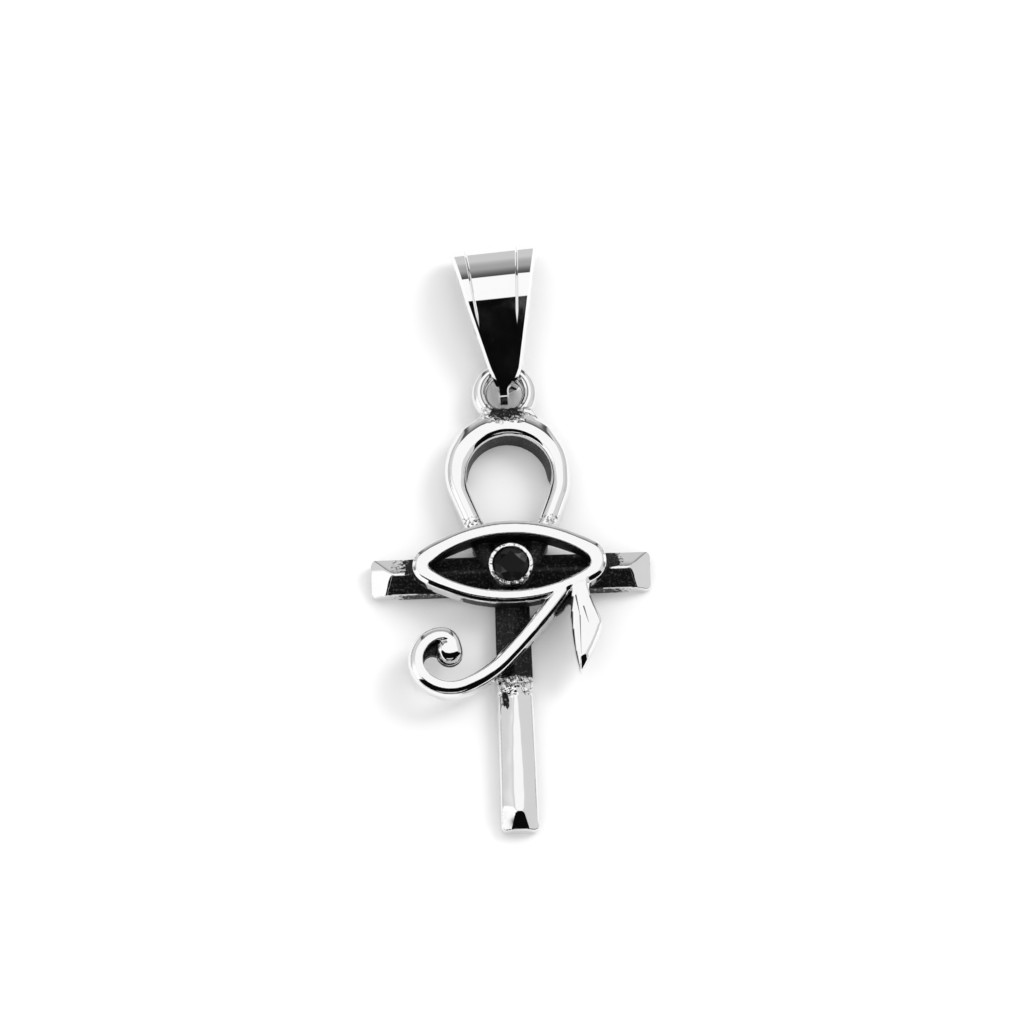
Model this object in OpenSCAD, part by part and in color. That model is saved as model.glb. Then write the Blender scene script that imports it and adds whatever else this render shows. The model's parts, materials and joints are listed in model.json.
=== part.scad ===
// Ankh pendant with an open Eye of Horus, lying on its back.
// Millimetres. X runs along the arms, Y from the foot to the bail, Z up from the surface it lies on.
// The origin is under the middle of the whole object. Places are worked out from the crossing.

/* [Arms and shaft] */
// Width over the two arms
arm_span = 21.6; // [20:0.1:23]
// Width of an arm
arm_width = 2.9; // [2.6:0.1:3.2]
// Distance from the crossing to the foot of the shaft
shaft_length = 20.65; // [18:0.05:24]
// Width of the shaft at the crossing
shaft_top_width = 2.6; // [2.3:0.05:2.8]
// Width of the shaft at its foot
shaft_foot_width = 2.95; // [2.85:0.05:3.4]
// Height of a bar's side walls
bar_wall = 1.1; // [0.9:0.05:1.3]
// Height of a bar's ridge
bar_ridge = 1.9; // [1.7:0.05:2.1]
// Length of the slope at a bar's end
hip_length = 1.5; // [1.2:0.1:1.8]

/* [Loop] */
// Distance from the crossing to the middle of the loop's arc
loop_centre_y = 8.15; // [7.9:0.05:8.4]
// Radius of the loop's arc, along the middle of the band
loop_radius = 4.1; // [3.9:0.05:4.3]
// Width of the loop's band
loop_width = 1.5; // [1.3:0.05:1.7]
// Height of the band's side walls
loop_wall = 1.95; // [1.7:0.05:2.1]
// Height of the band's domed top
loop_top = 2.5; // [2.4:0.05:2.7]
// Angle below the middle at which the arc runs into the straight legs
leg_angle = 21; // [18:1:24]
// Radius of the hole at the surface, where the cast wall slopes inwards
hole_foot_radius = 3.1; // [3.05:0.01:3.2]
// Distance by which the sloping wall sits lower than the arc
hole_foot_drop = 0.25; // [0.2:0.01:0.3]

/* [Hanging ring] */
// Radius of the ring, along the middle of its wire
ring_radius = 1.95; // [1.9:0.01:2.0]
// Radius of the ring's wire
ring_wire = 0.6; // [0.55:0.01:0.62]
// Distance from the crossing to the middle of the ring
ring_y = 14.8; // [14.7:0.05:14.9]
// Height of the ring's middle
ring_z = 1.28; // [1.26:0.01:1.3]

/* [Eye] */
// Distance from the crossing up to the middle of the eye
eye_y = 0.2; // [0:0.05:0.4]
// Radius of the upper lid, along the middle of its band
upper_lid_radius = 10.88; // [10.6:0.01:11.2]
// Radius of the lower lid, along the middle of its band
lower_lid_radius = 11.62; // [11.4:0.01:11.9]
// Height of the upper lid's middle above the eye's middle
upper_lid_rise = 2.93; // [2.8:0.01:3.1]
// Drop of the lower lid's middle below the eye's middle
lower_lid_drop = 2.68; // [2.5:0.01:2.8]
// Radius of the left corner
left_corner_radius = 0.8; // [0.7:0.05:1.1]
// Radius of the right corner
right_corner_radius = 1.1; // [0.8:0.05:1.3]
// Width of the eye's band
eye_width = 1.06; // [0.9:0.02:1.2]
// Height of the eye's underside
eye_base = 1.75; // [1.6:0.05:1.85]
// Height of the eye's front
eye_top = 3.25; // [3.1:0.05:3.4]
// Size of the bevel along the band's front edges
eye_bevel = 0.28; // [0.2:0.01:0.34]

/* [Setting and stone] */
// Outer radius of the setting
setting_radius = 1.72; // [1.65:0.01:1.8]
// Height of the setting's rim
setting_top = 2.95; // [2.9:0.05:3.1]
// Radius of the stone
stone_radius = 1.38; // [1.3:0.01:1.42]
// Clearance between the stone and its setting
stone_gap = 0.04; // [0.03:0.01:0.06]

/* [Bail] */
// Thickness of the bail's strip
bail_sheet = 0.55; // [0.5:0.01:0.58]
// Angle at which the front leg comes down to the ring
leg_lean = 12; // [11.9:0.1:12.4]
// Outer radius of the wide bend where it leaves the front leg
crown_radius = 5.0; // [4.8:0.1:5.2]
// Outer radius of the narrow bend inside the ring
tip_radius = 1.14; // [1.12:0.01:1.16]
// Distance from the ring's wire up to the start of the wide bend
crown_reach = 5.2; // [5.1:0.05:5.3]
// Distance from the ring's wire down to the middle of the narrow bend
tip_reach = 1.7; // [1.65:0.01:1.75]
// Angle by which the bail is turned to the left
bail_turn = 2.9; // [0:0.1:3.5]

/* [Hidden] */
$fn = 48;
tiny = 0.01;
overlap = 0.4;
half_overlap = 0.1;
far = 12;

// Shape of the loop's domed band, as shares of its width and of the dome's rise
dome_flat_share = 0.14;
dome_shoulder_share = 0.36;
dome_shoulder_rise = 0.65;

// The legs are tall down to the eye and low under it
arc_foot_y = loop_centre_y - loop_radius * sin(leg_angle);
leg_join_y = 3.2;
leg_foot_y = 0.3;
leg_low_wall = 1.35;
leg_low_top = 1.75;

wire_y = ring_y + ring_radius;
// Solder between the ring and the loop: half widths, and distances below the ring's middle
solder_foot_half = 2.00;
solder_head_half = 1.75;
solder_foot_drop = 2.35;
solder_head_drop = 1.66;
solder_bottom = 0.6;
solder_top = 2.0;

upper_lid_y = upper_lid_rise - upper_lid_radius;
lower_lid_y = lower_lid_radius - lower_lid_drop;
// The band is a little wider round the corners and along the tail
corner_gain = 0.2;
tail_gain = 0.1;
corner_width = eye_width + corner_gain;
tail_width = eye_width + tail_gain;
lid_steps = 20;
corner_steps = 9;

// The tail starts on the lower lid, turns right all the way and ends in the ball.
tail_start = [4.25, -1.75];
tail_heading = 233.7;
// Columns: radius, turn, steps
tail_rows = [
    [58.0, 7.8, 3],
    [8.96, 22.7, 4],
    [2.90, 66.5, 8],
    [2.20, 118.3, 15],
    [1.38, 34.6, 5],
    [0.85, 126.0, 11],
];
tail_radius = 0;
tail_turn = 1;
tail_steps = 2;

// Half section of the ball. Columns: share of the radius, height above the underside
ball_radius = 1.03;
ball_profile = [
    [0.78, 0.00],
    [1.00, 0.60],
    [1.00, 0.90],
    [0.84, 1.32],
    [0.50, 1.52],
    [0.00, 1.58],
];

// Sunk floor of the curl, with a round notch in its lower edge
web_middle = [-5.90, -6.75];
web_radius = 1.30;
web_top = 2.3;
web_edge_y = -7.35;
notch_middle = [-6.30, -7.66];
notch_radius = 0.66;

// Half width, reach above the eye's middle and height of the thin metal behind the upper lid
brow_half = 2.3;
brow_reach = 2.95;
brow_top = 1.2;

// Plan of the cheek drop from the eye's middle. Columns: x, y
drop_plan = [
    [4.85, -1.20],
    [4.58, -2.80],
    [4.42, -4.20],
    [4.50, -6.20],
    [4.86, -8.40],
    [5.06, -8.75],
    [5.48, -8.15],
    [6.20, -6.85],
    [6.75, -5.60],
    [6.80, -4.80],
    [6.35, -3.70],
    [6.00, -2.90],
    [5.90, -2.30],
    [6.10, -1.00],
];
// The drop has a ridge, a lower left and right side, and a tip that slopes down
drop_ridge_x = 5.30;
drop_left_x = 3;
drop_right_x = 8;
drop_left_top = 2.40;
drop_right_top = 2.20;
drop_slope_y = -7.4;
drop_tip_y = -8.6;
drop_tip_top = 2.30;

// Bore, seat and chamfer of the setting, which stands on the crossing
setting_bore = stone_radius + stone_gap;
setting_foot = 0.5;
setting_seat = 1.6;
setting_chamfer = [0.1, 0.2];

// Corners of the stone from the table down. Columns: height, share of the radius, sides, thickness, turn
stone_rows = [
    [3.16, 0.56, 8, 0.01, 0],
    [3.03, 0.80, 8, 0.01, 22.5],
    [2.74, 1.00, 16, 0.08, 0],
    [1.70, 0.04, 8, 0.01, 0],
];

// Plan of the bail's front leg and tongue. Columns: distance from the ring's wire, left x, right x
bail_rows = [
    [10.60, -3.58, 3.68],
    [4.84, -2.45, 2.49],
    [3.77, -2.18, 2.27],
    [0.09, -1.26, 1.49],
    [-0.60, -1.02, 1.27],
    [-1.25, -0.80, 0.89],
    [-1.70, -0.64, 0.30],
    [-3.20, -0.56, 0.22],
];
row_left = 1;
row_right = 2;
// Plan of the back leg, which lies just inside the front one and ends in a rounded tab on the right.
// Columns: x, distance
back_plan_points = [
    [-3.58, 10.60],
    [-3.10, 9.60],
    [-1.85, 3.45],
    [-0.56, -0.75],
    [-0.56, -3.20],
    [0.22, -3.20],
    [0.22, -1.48],
    [0.85, -1.55],
    [1.25, -1.20],
    [1.35, -0.60],
    [1.95, 3.45],
    [3.15, 9.60],
    [3.68, 10.60],
];

// The side view of the bail is a closed row of arcs. Angles are from straight up, towards the top end.
crown_end = 10;
shoulder_radius = 5.7;
shoulder_end = 40;
crown_steps = 8;
nose_steps = 14;

function on_arc(middle, radius, angle) = middle + radius * [sin(angle), cos(angle)];
function arc_middle(start, radius, angle) = start - radius * [sin(angle), cos(angle)];
function side_arc(middle, radius, from, to, steps) =
    [for (i = [0:steps - 1]) on_arc(middle, radius, from + (to - from) * i / steps)];

tip_middle = [-tip_reach, tip_radius];
leg_foot = on_arc(tip_middle, tip_radius, -leg_lean);
crown_start = [crown_reach, leg_foot[1] + (crown_reach - leg_foot[0]) * tan(leg_lean)];
crown_middle = arc_middle(crown_start, crown_radius, -leg_lean);
shoulder_start = on_arc(crown_middle, crown_radius, crown_end);
shoulder_middle = arc_middle(shoulder_start, shoulder_radius, crown_end);
nose_start = on_arc(shoulder_middle, shoulder_radius, shoulder_end);
nose_radius = nose_start[1] / (1 + cos(shoulder_end));
nose_middle = arc_middle(nose_start, nose_radius, shoulder_end);

bail_reach = nose_middle[0] + nose_radius;
bail_top_half = lookup(bail_reach, [for (row = bail_rows) [row[0], row[row_right]]]);
bail_top_y = wire_y + bail_reach * cos(bail_turn) + bail_top_half * sin(bail_turn);
middle_y = (bail_top_y - shaft_length) / 2;

// Moves the crossing so that the whole object is centred on the origin
module centred() {
    translate([0, -middle_y, 0]) children();
}

// A bar along X with a ridge and a slope at each end, from x = 0
module ridged_bar(length, width, hip_start, hip_end) {
    intersection() {
        rotate([90, 0, 90])
            linear_extrude(length)
                polygon([
                    [-width / 2, 0], [width / 2, 0], [width / 2, bar_wall],
                    [0, bar_ridge], [-width / 2, bar_wall],
                ]);
        translate([0, width / 2 + tiny, 0])
            rotate([90, 0, 0])
                linear_extrude(width + 2 * tiny)
                    polygon([
                        [0, 0], [length, 0], [length, hip_end > 0 ? bar_wall : bar_ridge],
                        [length - hip_end, bar_ridge], [hip_start, bar_ridge],
                        [0, hip_start > 0 ? bar_wall : bar_ridge],
                    ]);
    }
}

module arms() {
    translate([-arm_span / 2, 0, 0]) ridged_bar(arm_span, arm_width, hip_length, hip_length);
}

module shaft() {
    top_y = arm_width / 2;
    intersection() {
        translate([0, top_y, 0])
            rotate([0, 0, -90])
                ridged_bar(shaft_length + top_y, shaft_foot_width, 0, hip_length);
        linear_extrude(far)
            polygon([
                [-shaft_foot_width / 2, -shaft_length], [shaft_foot_width / 2, -shaft_length],
                [shaft_top_width / 2, top_y], [-shaft_top_width / 2, top_y],
            ]);
    }
}

module domed_profile(width, wall, top) {
    flat_half = width * dome_flat_share;
    shoulder_half = width * dome_shoulder_share;
    shoulder = wall + (top - wall) * dome_shoulder_rise;
    polygon([
        [-width / 2, 0], [width / 2, 0], [width / 2, wall],
        [shoulder_half, shoulder], [flat_half, top],
        [-flat_half, top], [-shoulder_half, shoulder], [-width / 2, wall],
    ]);
}

// A straight leg from just inside the arc's end down to a given y
module leg(to_y, wall, top) {
    rotate([0, 0, -leg_angle])
        translate([loop_radius, overlap, 0])
            rotate([90, 0, 0])
                linear_extrude((arc_foot_y - to_y) / cos(leg_angle) + overlap)
                    domed_profile(loop_width, wall, top);
}

// The hole's wall slopes inwards towards the surface, most of all at the top of the loop
module loop_skirt() {
    wall_radius = loop_radius - loop_width / 2;
    difference() {
        cylinder(r = loop_radius, h = loop_wall);
        translate([0, -hole_foot_drop, 0])
            cylinder(r1 = hole_foot_radius, r2 = wall_radius + hole_foot_drop, h = loop_wall);
        translate([-far / 2, -far - wall_radius * sin(leg_angle), -tiny])
            cube([far, far, far]);
    }
}

module loop() {
    translate([0, loop_centre_y, 0]) {
        loop_skirt();
        rotate([0, 0, -leg_angle])
            rotate_extrude(angle = 180 + 2 * leg_angle)
                translate([loop_radius, 0])
                    domed_profile(loop_width, loop_wall, loop_top);
        for (side = [0, 1])
            mirror([side, 0, 0]) {
                leg(leg_join_y, loop_wall, loop_top);
                leg(leg_foot_y, leg_low_wall, leg_low_top);
            }
    }
}

module hanging_ring() {
    translate([0, ring_y, ring_z])
        rotate_extrude()
            translate([ring_radius, 0])
                circle(ring_wire);
    solder_collar();
}

// Solder that fills the corners between the ring and the top of the loop
module solder_collar() {
    translate([0, ring_y, solder_bottom])
        linear_extrude(solder_top - solder_bottom)
            polygon([
                [-solder_foot_half, -solder_foot_drop], [solder_foot_half, -solder_foot_drop],
                [solder_head_half, -solder_head_drop], [-solder_head_half, -solder_head_drop],
            ]);
}

// Cross section of the eye's band. Columns: sideways, height
function eye_profile(width) = [
    [-width / 2, eye_base],
    [width / 2, eye_base],
    [width / 2, eye_top - eye_bevel],
    [width / 2 - eye_bevel, eye_top],
    [-width / 2 + eye_bevel, eye_top],
    [-width / 2, eye_top - eye_bevel],
];

// Sweeps the band anticlockwise. Columns of a station: x, y, angle of the sideways direction, width
module eye_band(stations, closed) {
    rings = len(stations);
    side = len(eye_profile(1));
    points = [
        for (s = stations, p = eye_profile(s[3]))
            [s[0] + p[0] * cos(s[2]), s[1] + p[0] * sin(s[2]), p[1]]
    ];
    last = closed ? rings - 1 : rings - 2;
    walls = [
        for (i = [0:last], j = [0:side - 1])
            let (a = i * side, b = ((i + 1) % rings) * side, k = (j + 1) % side)
            each [[a + j, a + k, b + k], [a + j, b + k, b + j]]
    ];
    ends = closed ? [] : [
        [for (j = [side - 1:-1:0]) j],
        [for (j = [0:side - 1]) (rings - 1) * side + j],
    ];
    polyhedron(points, concat(walls, ends));
}

// Stations along an arc, without its last point
function arc_stations(centre, radius, from, to, count, width) = [
    for (i = [0:count - 1])
        let (a = from + (to - from) * i / count)
        [centre[0] + radius * cos(a), centre[1] + radius * sin(a), a, width]
];

// Middle of a corner circle that touches both lids
function corner_y(r) =
    let (upper = upper_lid_radius - r, lower = lower_lid_radius - r, apart = lower_lid_y - upper_lid_y)
    (upper * upper - lower * lower + lower_lid_y * lower_lid_y - upper_lid_y * upper_lid_y)
        / (2 * apart);
function corner_x(r) =
    let (upper = upper_lid_radius - r, rise = corner_y(r) - upper_lid_y)
    sqrt(upper * upper - rise * rise);
function upper_angle(r) = atan2(corner_y(r) - upper_lid_y, corner_x(r));
function lower_angle(r) = atan2(corner_y(r) - lower_lid_y, corner_x(r));

module eye_frame() {
    left = left_corner_radius;
    right = right_corner_radius;
    eye_band(concat(
        arc_stations([corner_x(right), corner_y(right)], right,
            lower_angle(right), upper_angle(right), corner_steps, corner_width),
        arc_stations([0, upper_lid_y], upper_lid_radius,
            upper_angle(right), 180 - upper_angle(left), lid_steps, eye_width),
        arc_stations([-corner_x(left), corner_y(left)], left,
            180 - upper_angle(left), 180 - lower_angle(left), corner_steps, corner_width),
        arc_stations([0, lower_lid_y], lower_lid_radius,
            -180 - lower_angle(left), lower_angle(right), lid_steps, eye_width)
    ), true);
}

// Start point and heading of each arc of the tail: [x, y, heading]
function tail_step(from, row) =
    let (r = row[tail_radius], h = from[2], g = h - row[tail_turn])
    [from[0] + r * (sin(h) - sin(g)), from[1] - r * (cos(h) - cos(g)), g];
function tail_place(i) =
    i == 0 ? [tail_start[0], tail_start[1], tail_heading] : tail_step(tail_place(i - 1), tail_rows[i - 1]);
function tail_stations(i) =
    let (place = tail_place(i), row = tail_rows[i], r = row[tail_radius], h = place[2])
    arc_stations([place[0] + r * sin(h), place[1] - r * cos(h)], r,
        h + 90, h + 90 - row[tail_turn], row[tail_steps], tail_width);

// The band is swept from the ball back to the lid, because stations run anticlockwise
module tail() {
    end = tail_place(len(tail_rows));
    stations = concat(
        [for (i = [0:len(tail_rows) - 1]) each tail_stations(i)],
        [[end[0], end[1], end[2] + 90, tail_width]]
    );
    eye_band([for (i = [len(stations) - 1:-1:0]) stations[i]], false);
    tail_ball();
    curl_web();
}

module tail_ball() {
    end = tail_place(len(tail_rows));
    translate([end[0], end[1], eye_base])
        rotate_extrude()
            polygon(concat([[0, 0]], [for (row = ball_profile) [row[0] * ball_radius, row[1]]]));
}

// Sunk floor that joins the curl to its ball
module curl_web() {
    translate([0, 0, eye_base])
        linear_extrude(web_top - eye_base)
            difference() {
                translate(web_middle) circle(web_radius);
                translate(notch_middle) circle(notch_radius);
                translate([-far, web_edge_y - far]) square(far);
            }
}

module cheek_drop() {
    intersection() {
        translate([0, 0, eye_base]) linear_extrude(eye_top) polygon(drop_plan);
        rotate([90, 0, 0])
            linear_extrude(far)
                polygon([
                    [drop_left_x, 0], [drop_right_x, 0], [drop_right_x, drop_right_top],
                    [drop_ridge_x, eye_top], [drop_left_x, drop_left_top],
                ]);
        rotate([90, 0, 90])
            linear_extrude(far)
                polygon([
                    [0, 0], [drop_tip_y - 1, 0], [drop_tip_y, drop_tip_top],
                    [drop_slope_y, eye_top], [0, eye_top],
                ]);
    }
}

// Round collar that stands on the crossing
module setting() {
    rotate_extrude()
        polygon([
            [0, setting_foot], [setting_radius, setting_foot],
            [setting_radius, setting_top - setting_chamfer[1]],
            [setting_radius - setting_chamfer[0], setting_top], [0, setting_top],
        ]);
}

// Bore for the stone, which also cuts into the ridges of the crossing
module stone_seat() {
    translate([0, eye_y, setting_seat]) cylinder(r = setting_bore, h = eye_top);
}

// Thin metal between the loop's feet, behind the upper lid
module brow_web() {
    translate([-brow_half, 0, 0]) cube([2 * brow_half, brow_reach, brow_top]);
}

module eye() {
    translate([0, eye_y, 0]) {
        eye_frame();
        brow_web();
        tail();
        cheek_drop();
        setting();
    }
}

module ankh() {
    color("silver")
        centred()
            difference() {
                union() {
                    arms();
                    shaft();
                    loop();
                    hanging_ring();
                    eye();
                }
                stone_seat();
            }
}

// Round brilliant: an eight-sided table, a ring of crown corners, a girdle and a pavilion
module stone() {
    color("black")
        centred()
            translate([0, eye_y, 0])
                hull()
                    for (row = stone_rows)
                        translate([0, 0, row[0]])
                            rotate([0, 0, row[4]])
                                cylinder(r = stone_radius * row[1], h = row[3], $fn = row[2]);
}

// Side view of the bail, set in from its outer face
module bail_side(inset) {
    polygon(concat(
        side_arc(crown_middle, crown_radius - inset, -leg_lean, crown_end, crown_steps),
        side_arc(shoulder_middle, shoulder_radius - inset, crown_end, shoulder_end, crown_steps),
        side_arc(nose_middle, nose_radius - inset, shoulder_end, 180, nose_steps),
        side_arc(tip_middle, tip_radius - inset, 180, 360 - leg_lean, nose_steps),
        [on_arc(tip_middle, tip_radius - inset, -leg_lean)]
    ));
}

module bail_strip() {
    translate([-far / 2, 0, 0])
        rotate([90, 0, 90])
            linear_extrude(far)
                difference() {
                    bail_side(0);
                    bail_side(bail_sheet);
                }
}

// The half of the side view above or below the line through both bends, and a little past it
module bail_half(upper) {
    slope = (nose_radius - tip_radius) / (nose_middle[0] + tip_reach);
    past = upper ? -half_overlap : half_overlap;
    low = tip_radius - far * slope + past;
    high = nose_radius + far * slope + past;
    edge = upper ? far : -far;
    translate([-far / 2, 0, 0])
        rotate([90, 0, 90])
            linear_extrude(far)
                polygon([
                    [-tip_reach - far, low], [nose_middle[0] + far, high],
                    [nose_middle[0] + far, edge], [-tip_reach - far, edge],
                ]);
}

module front_plan() {
    linear_extrude(far)
        polygon(concat(
            [for (row = bail_rows) [row[row_right], row[0]]],
            [for (i = [len(bail_rows) - 1:-1:0]) [bail_rows[i][row_left], bail_rows[i][0]]]
        ));
}

module back_plan() {
    linear_extrude(far) polygon(back_plan_points);
}

module bail() {
    color("gainsboro")
        centred()
            translate([0, wire_y, 0])
                rotate([0, 0, bail_turn]) {
                    intersection() {
                        bail_strip();
                        bail_half(true);
                        front_plan();
                    }
                    intersection() {
                        bail_strip();
                        bail_half(false);
                        back_plan();
                    }
                }
}

ankh();
stone();
bail();
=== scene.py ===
import json
import math

import bpy
import numpy as np
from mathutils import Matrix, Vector

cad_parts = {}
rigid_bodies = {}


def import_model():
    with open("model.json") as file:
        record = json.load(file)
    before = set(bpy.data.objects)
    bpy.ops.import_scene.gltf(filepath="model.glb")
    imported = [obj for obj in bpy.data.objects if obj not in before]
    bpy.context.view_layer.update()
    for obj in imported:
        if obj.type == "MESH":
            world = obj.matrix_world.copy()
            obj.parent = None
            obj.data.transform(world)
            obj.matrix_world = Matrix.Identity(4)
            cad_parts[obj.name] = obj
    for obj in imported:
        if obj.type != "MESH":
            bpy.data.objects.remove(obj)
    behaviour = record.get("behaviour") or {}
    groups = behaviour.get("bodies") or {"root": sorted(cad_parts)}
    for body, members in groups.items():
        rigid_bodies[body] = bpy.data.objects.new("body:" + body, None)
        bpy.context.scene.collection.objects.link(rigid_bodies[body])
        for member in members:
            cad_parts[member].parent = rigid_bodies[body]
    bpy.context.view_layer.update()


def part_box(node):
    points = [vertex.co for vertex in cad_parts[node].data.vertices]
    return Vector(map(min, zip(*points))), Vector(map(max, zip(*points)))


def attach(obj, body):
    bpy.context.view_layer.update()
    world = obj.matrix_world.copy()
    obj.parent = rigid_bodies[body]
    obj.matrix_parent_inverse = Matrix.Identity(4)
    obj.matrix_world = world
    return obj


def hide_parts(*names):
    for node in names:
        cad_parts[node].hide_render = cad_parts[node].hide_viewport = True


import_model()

mm = 0.001
scene = bpy.context.scene

# The crossing of the ankh is the zero of every table below, in millimetres.
# A pair of values in a dictionary says where an effect begins and where it is full
crossSizes = {
    "armSpan": 21.6, "armWidth": 2.9, "shaftLength": 20.65, "shaftTopWidth": 2.6, "shaftFootWidth": 2.95,
    "wall": 1.1, "ridge": 1.9, "hip": 1.5, "cornerRound": 0.45, "edgeRound": 0.07, "fillet": 0.12,
    "armRidgeSoft": 0.24, "armRidgeLift": 0.05, "armHipRound": 0.1, "armHipMelt": 0.1, "armLowerSide": (0.1, -0.7),
    "shaftRidgeSoft": 0.8, "shaftRidgeLift": 0.1, "shaftHipRound": 0.06, "shaftSunk": 0.2,
    "shaftEdge": 0.26, "wornTop": (-8.4, -9.6), "wornFoot": (-20.3, -19.9),
}
# The shaft's ridge gets rounder towards the foot. Columns: distance from the crossing, share
ridgeWear = [(8.9, 0.1), (10.9, 0.5), (13.0, 0.76), (15.1, 0.95), (19.2, 1)]
# Corner facets of the foot and the arms. Columns: where they start from the middle, lean across, lean along
footCorners = [(-0.58, -0.5, 0.37), (0.6, 0.5, 0.37)]
armCorners = [(0.438, -0.3655, 0.6)]
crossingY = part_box("ankh")[0].y / mm + crossSizes["shaftLength"]


# Distance helpers: negative inside the metal

def roundMax(radius, *parts):  # keeps what all the parts share, with rounded edges
    top = parts[0]
    for part in parts[1:]:
        top = np.maximum(top, part)
    lift = sum(np.maximum(part + radius, 0) ** 2 for part in parts)
    return np.minimum(top, -radius) + np.sqrt(lift)


def meltMin(blend, a, b):  # joins two parts with a soft fillet
    h = np.maximum(blend - np.abs(a - b), 0) / blend
    return np.minimum(a, b) - h * h * blend * 0.25


def easeStep(low, high, value):
    t = np.clip((value - low) / (high - low), 0, 1)
    return t * t * (3 - 2 * t)


def softRidge(across, soft):  # distance from a ridge line, rounded near it
    return np.sqrt(across ** 2 + soft ** 2) - soft / 2


def bevelPlane(side, top, size):  # cuts a corner at 45 degrees
    return (side + top + size) * math.sqrt(0.5)


def makeRipples(seed, wavelength, count=9):
    rng = np.random.default_rng(seed)
    heading = rng.normal(size=(count, 3))
    heading /= np.linalg.norm(heading, axis=1)[:, None]
    turns = 2 * math.pi / (wavelength * rng.uniform(0.7, 1.5, count))
    return heading * turns[:, None], rng.uniform(0, 2 * math.pi, count)


def ripple(table, x, y, z):
    total = 0
    for way, phase in zip(*table):
        total = total + np.sin(way[0] * x + way[1] * y + way[2] * z + phase)
    return total / math.sqrt(len(table[1]) / 2)


# Arms and shaft: ridged bars with sloping ends

def ridgedBar(along, across, z, halfLength, halfWidth, slopeHalf, ridgeSoft, ridgeLift, hipRound, corners, edge):
    s = crossSizes
    fall = s["ridge"] - s["wall"]
    slope = fall / slopeHalf
    sides = roundMax(s["cornerRound"], np.abs(across) - halfWidth, along - halfLength)
    roof = z - s["ridge"] - ridgeLift + slope * softRidge(across, ridgeSoft)
    end = ((along - halfLength) * fall + (z - s["wall"]) * s["hip"]) / math.hypot(s["hip"], fall)
    facets = [(lean * (across - start) + rise * (along - halfLength) + z - s["wall"]) / math.hypot(1, lean, rise)
              for start, lean, rise in corners]
    top = roundMax(hipRound, roof / math.hypot(1, slope), end, *facets)
    return roundMax(s["edgeRound"], roundMax(edge, sides, top), -z)


def crossBars(x, y, z):
    s = crossSizes
    hipRound = s["armHipRound"] + s["armHipMelt"] * easeStep(*s["armLowerSide"], y)
    arms = ridgedBar(np.abs(x), y, z, s["armSpan"] / 2, s["armWidth"] / 2, s["armWidth"] / 2, s["armRidgeSoft"],
                     s["armRidgeLift"], hipRound, armCorners, s["edgeRound"])
    topY = s["armWidth"] / 2
    share = (topY - y) / (s["shaftLength"] + topY)
    halfWidth = (s["shaftTopWidth"] + (s["shaftFootWidth"] - s["shaftTopWidth"]) * share) / 2
    soft = s["shaftRidgeSoft"] * np.interp(-y, *zip(*ridgeWear))
    worn = easeStep(*s["wornTop"], y) * easeStep(*s["wornFoot"], y)
    edge = s["edgeRound"] + (s["shaftEdge"] - s["edgeRound"]) * worn
    shaft = ridgedBar(-y, x, z, s["shaftLength"], halfWidth, s["shaftFootWidth"] / 2, soft,
                      s["shaftRidgeLift"] * soft, s["shaftHipRound"], footCorners, edge)
    shaft = np.maximum(shaft, y - topY + s["shaftSunk"])
    return meltMin(s["fillet"], arms, shaft)


# Loop: a domed band round an arc and down two straight legs

loopSizes = {
    "centreY": 8.15, "radius": 4.1, "width": 1.5, "wall": 1.95, "top": 2.5, "legAngle": 21, "edgeRound": 0.06,
    "legJoinY": 3.2, "legRise": (-0.3, 0.1), "legFootY": 0.3, "lowWall": 1.35, "lowTop": 1.75,
    "legBulge": 0.24, "bulgeSide": (0, 1), "bulgeLow": (3.0, 4.2), "bulgeHigh": (8.2, 6.0),
    "upperHalf": (-1.7, -0.2), "headShare": (0.45, 0.75), "crestShift": 0.25, "reachLimit": 1.15,
    "outerPower": 2.65, "innerPower": 4.7, "innerFall": 0.3, "upperPower": 2.1, "upperFall": 0.4,
    "holeRadius": 3.3, "holeShift": 0.13, "holeDrop": 0.38, "footRadius": 3.1, "footDrop": 0.25,
    "lowGain": 0.35, "lowHalf": (0.2, -1.2), "skirtRound": 0.05, "skirtSunk": 0.03, "skirtLow": 1.25,
    "skirtMelt": 0.06,
}


def loopOffset(x, y):  # signed distance from the band's centre line, positive outside
    s = loopSizes
    a = math.radians(s["legAngle"])
    px, py = np.abs(x), y - s["centreY"]
    dx, dy = px - s["radius"] * math.cos(a), py + s["radius"] * math.sin(a)
    onLeg = -dx * math.sin(a) - dy * math.cos(a) > 0
    leg = dx * math.cos(a) - dy * math.sin(a)
    return np.where(onLeg, leg, np.hypot(px, py) - s["radius"])


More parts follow.
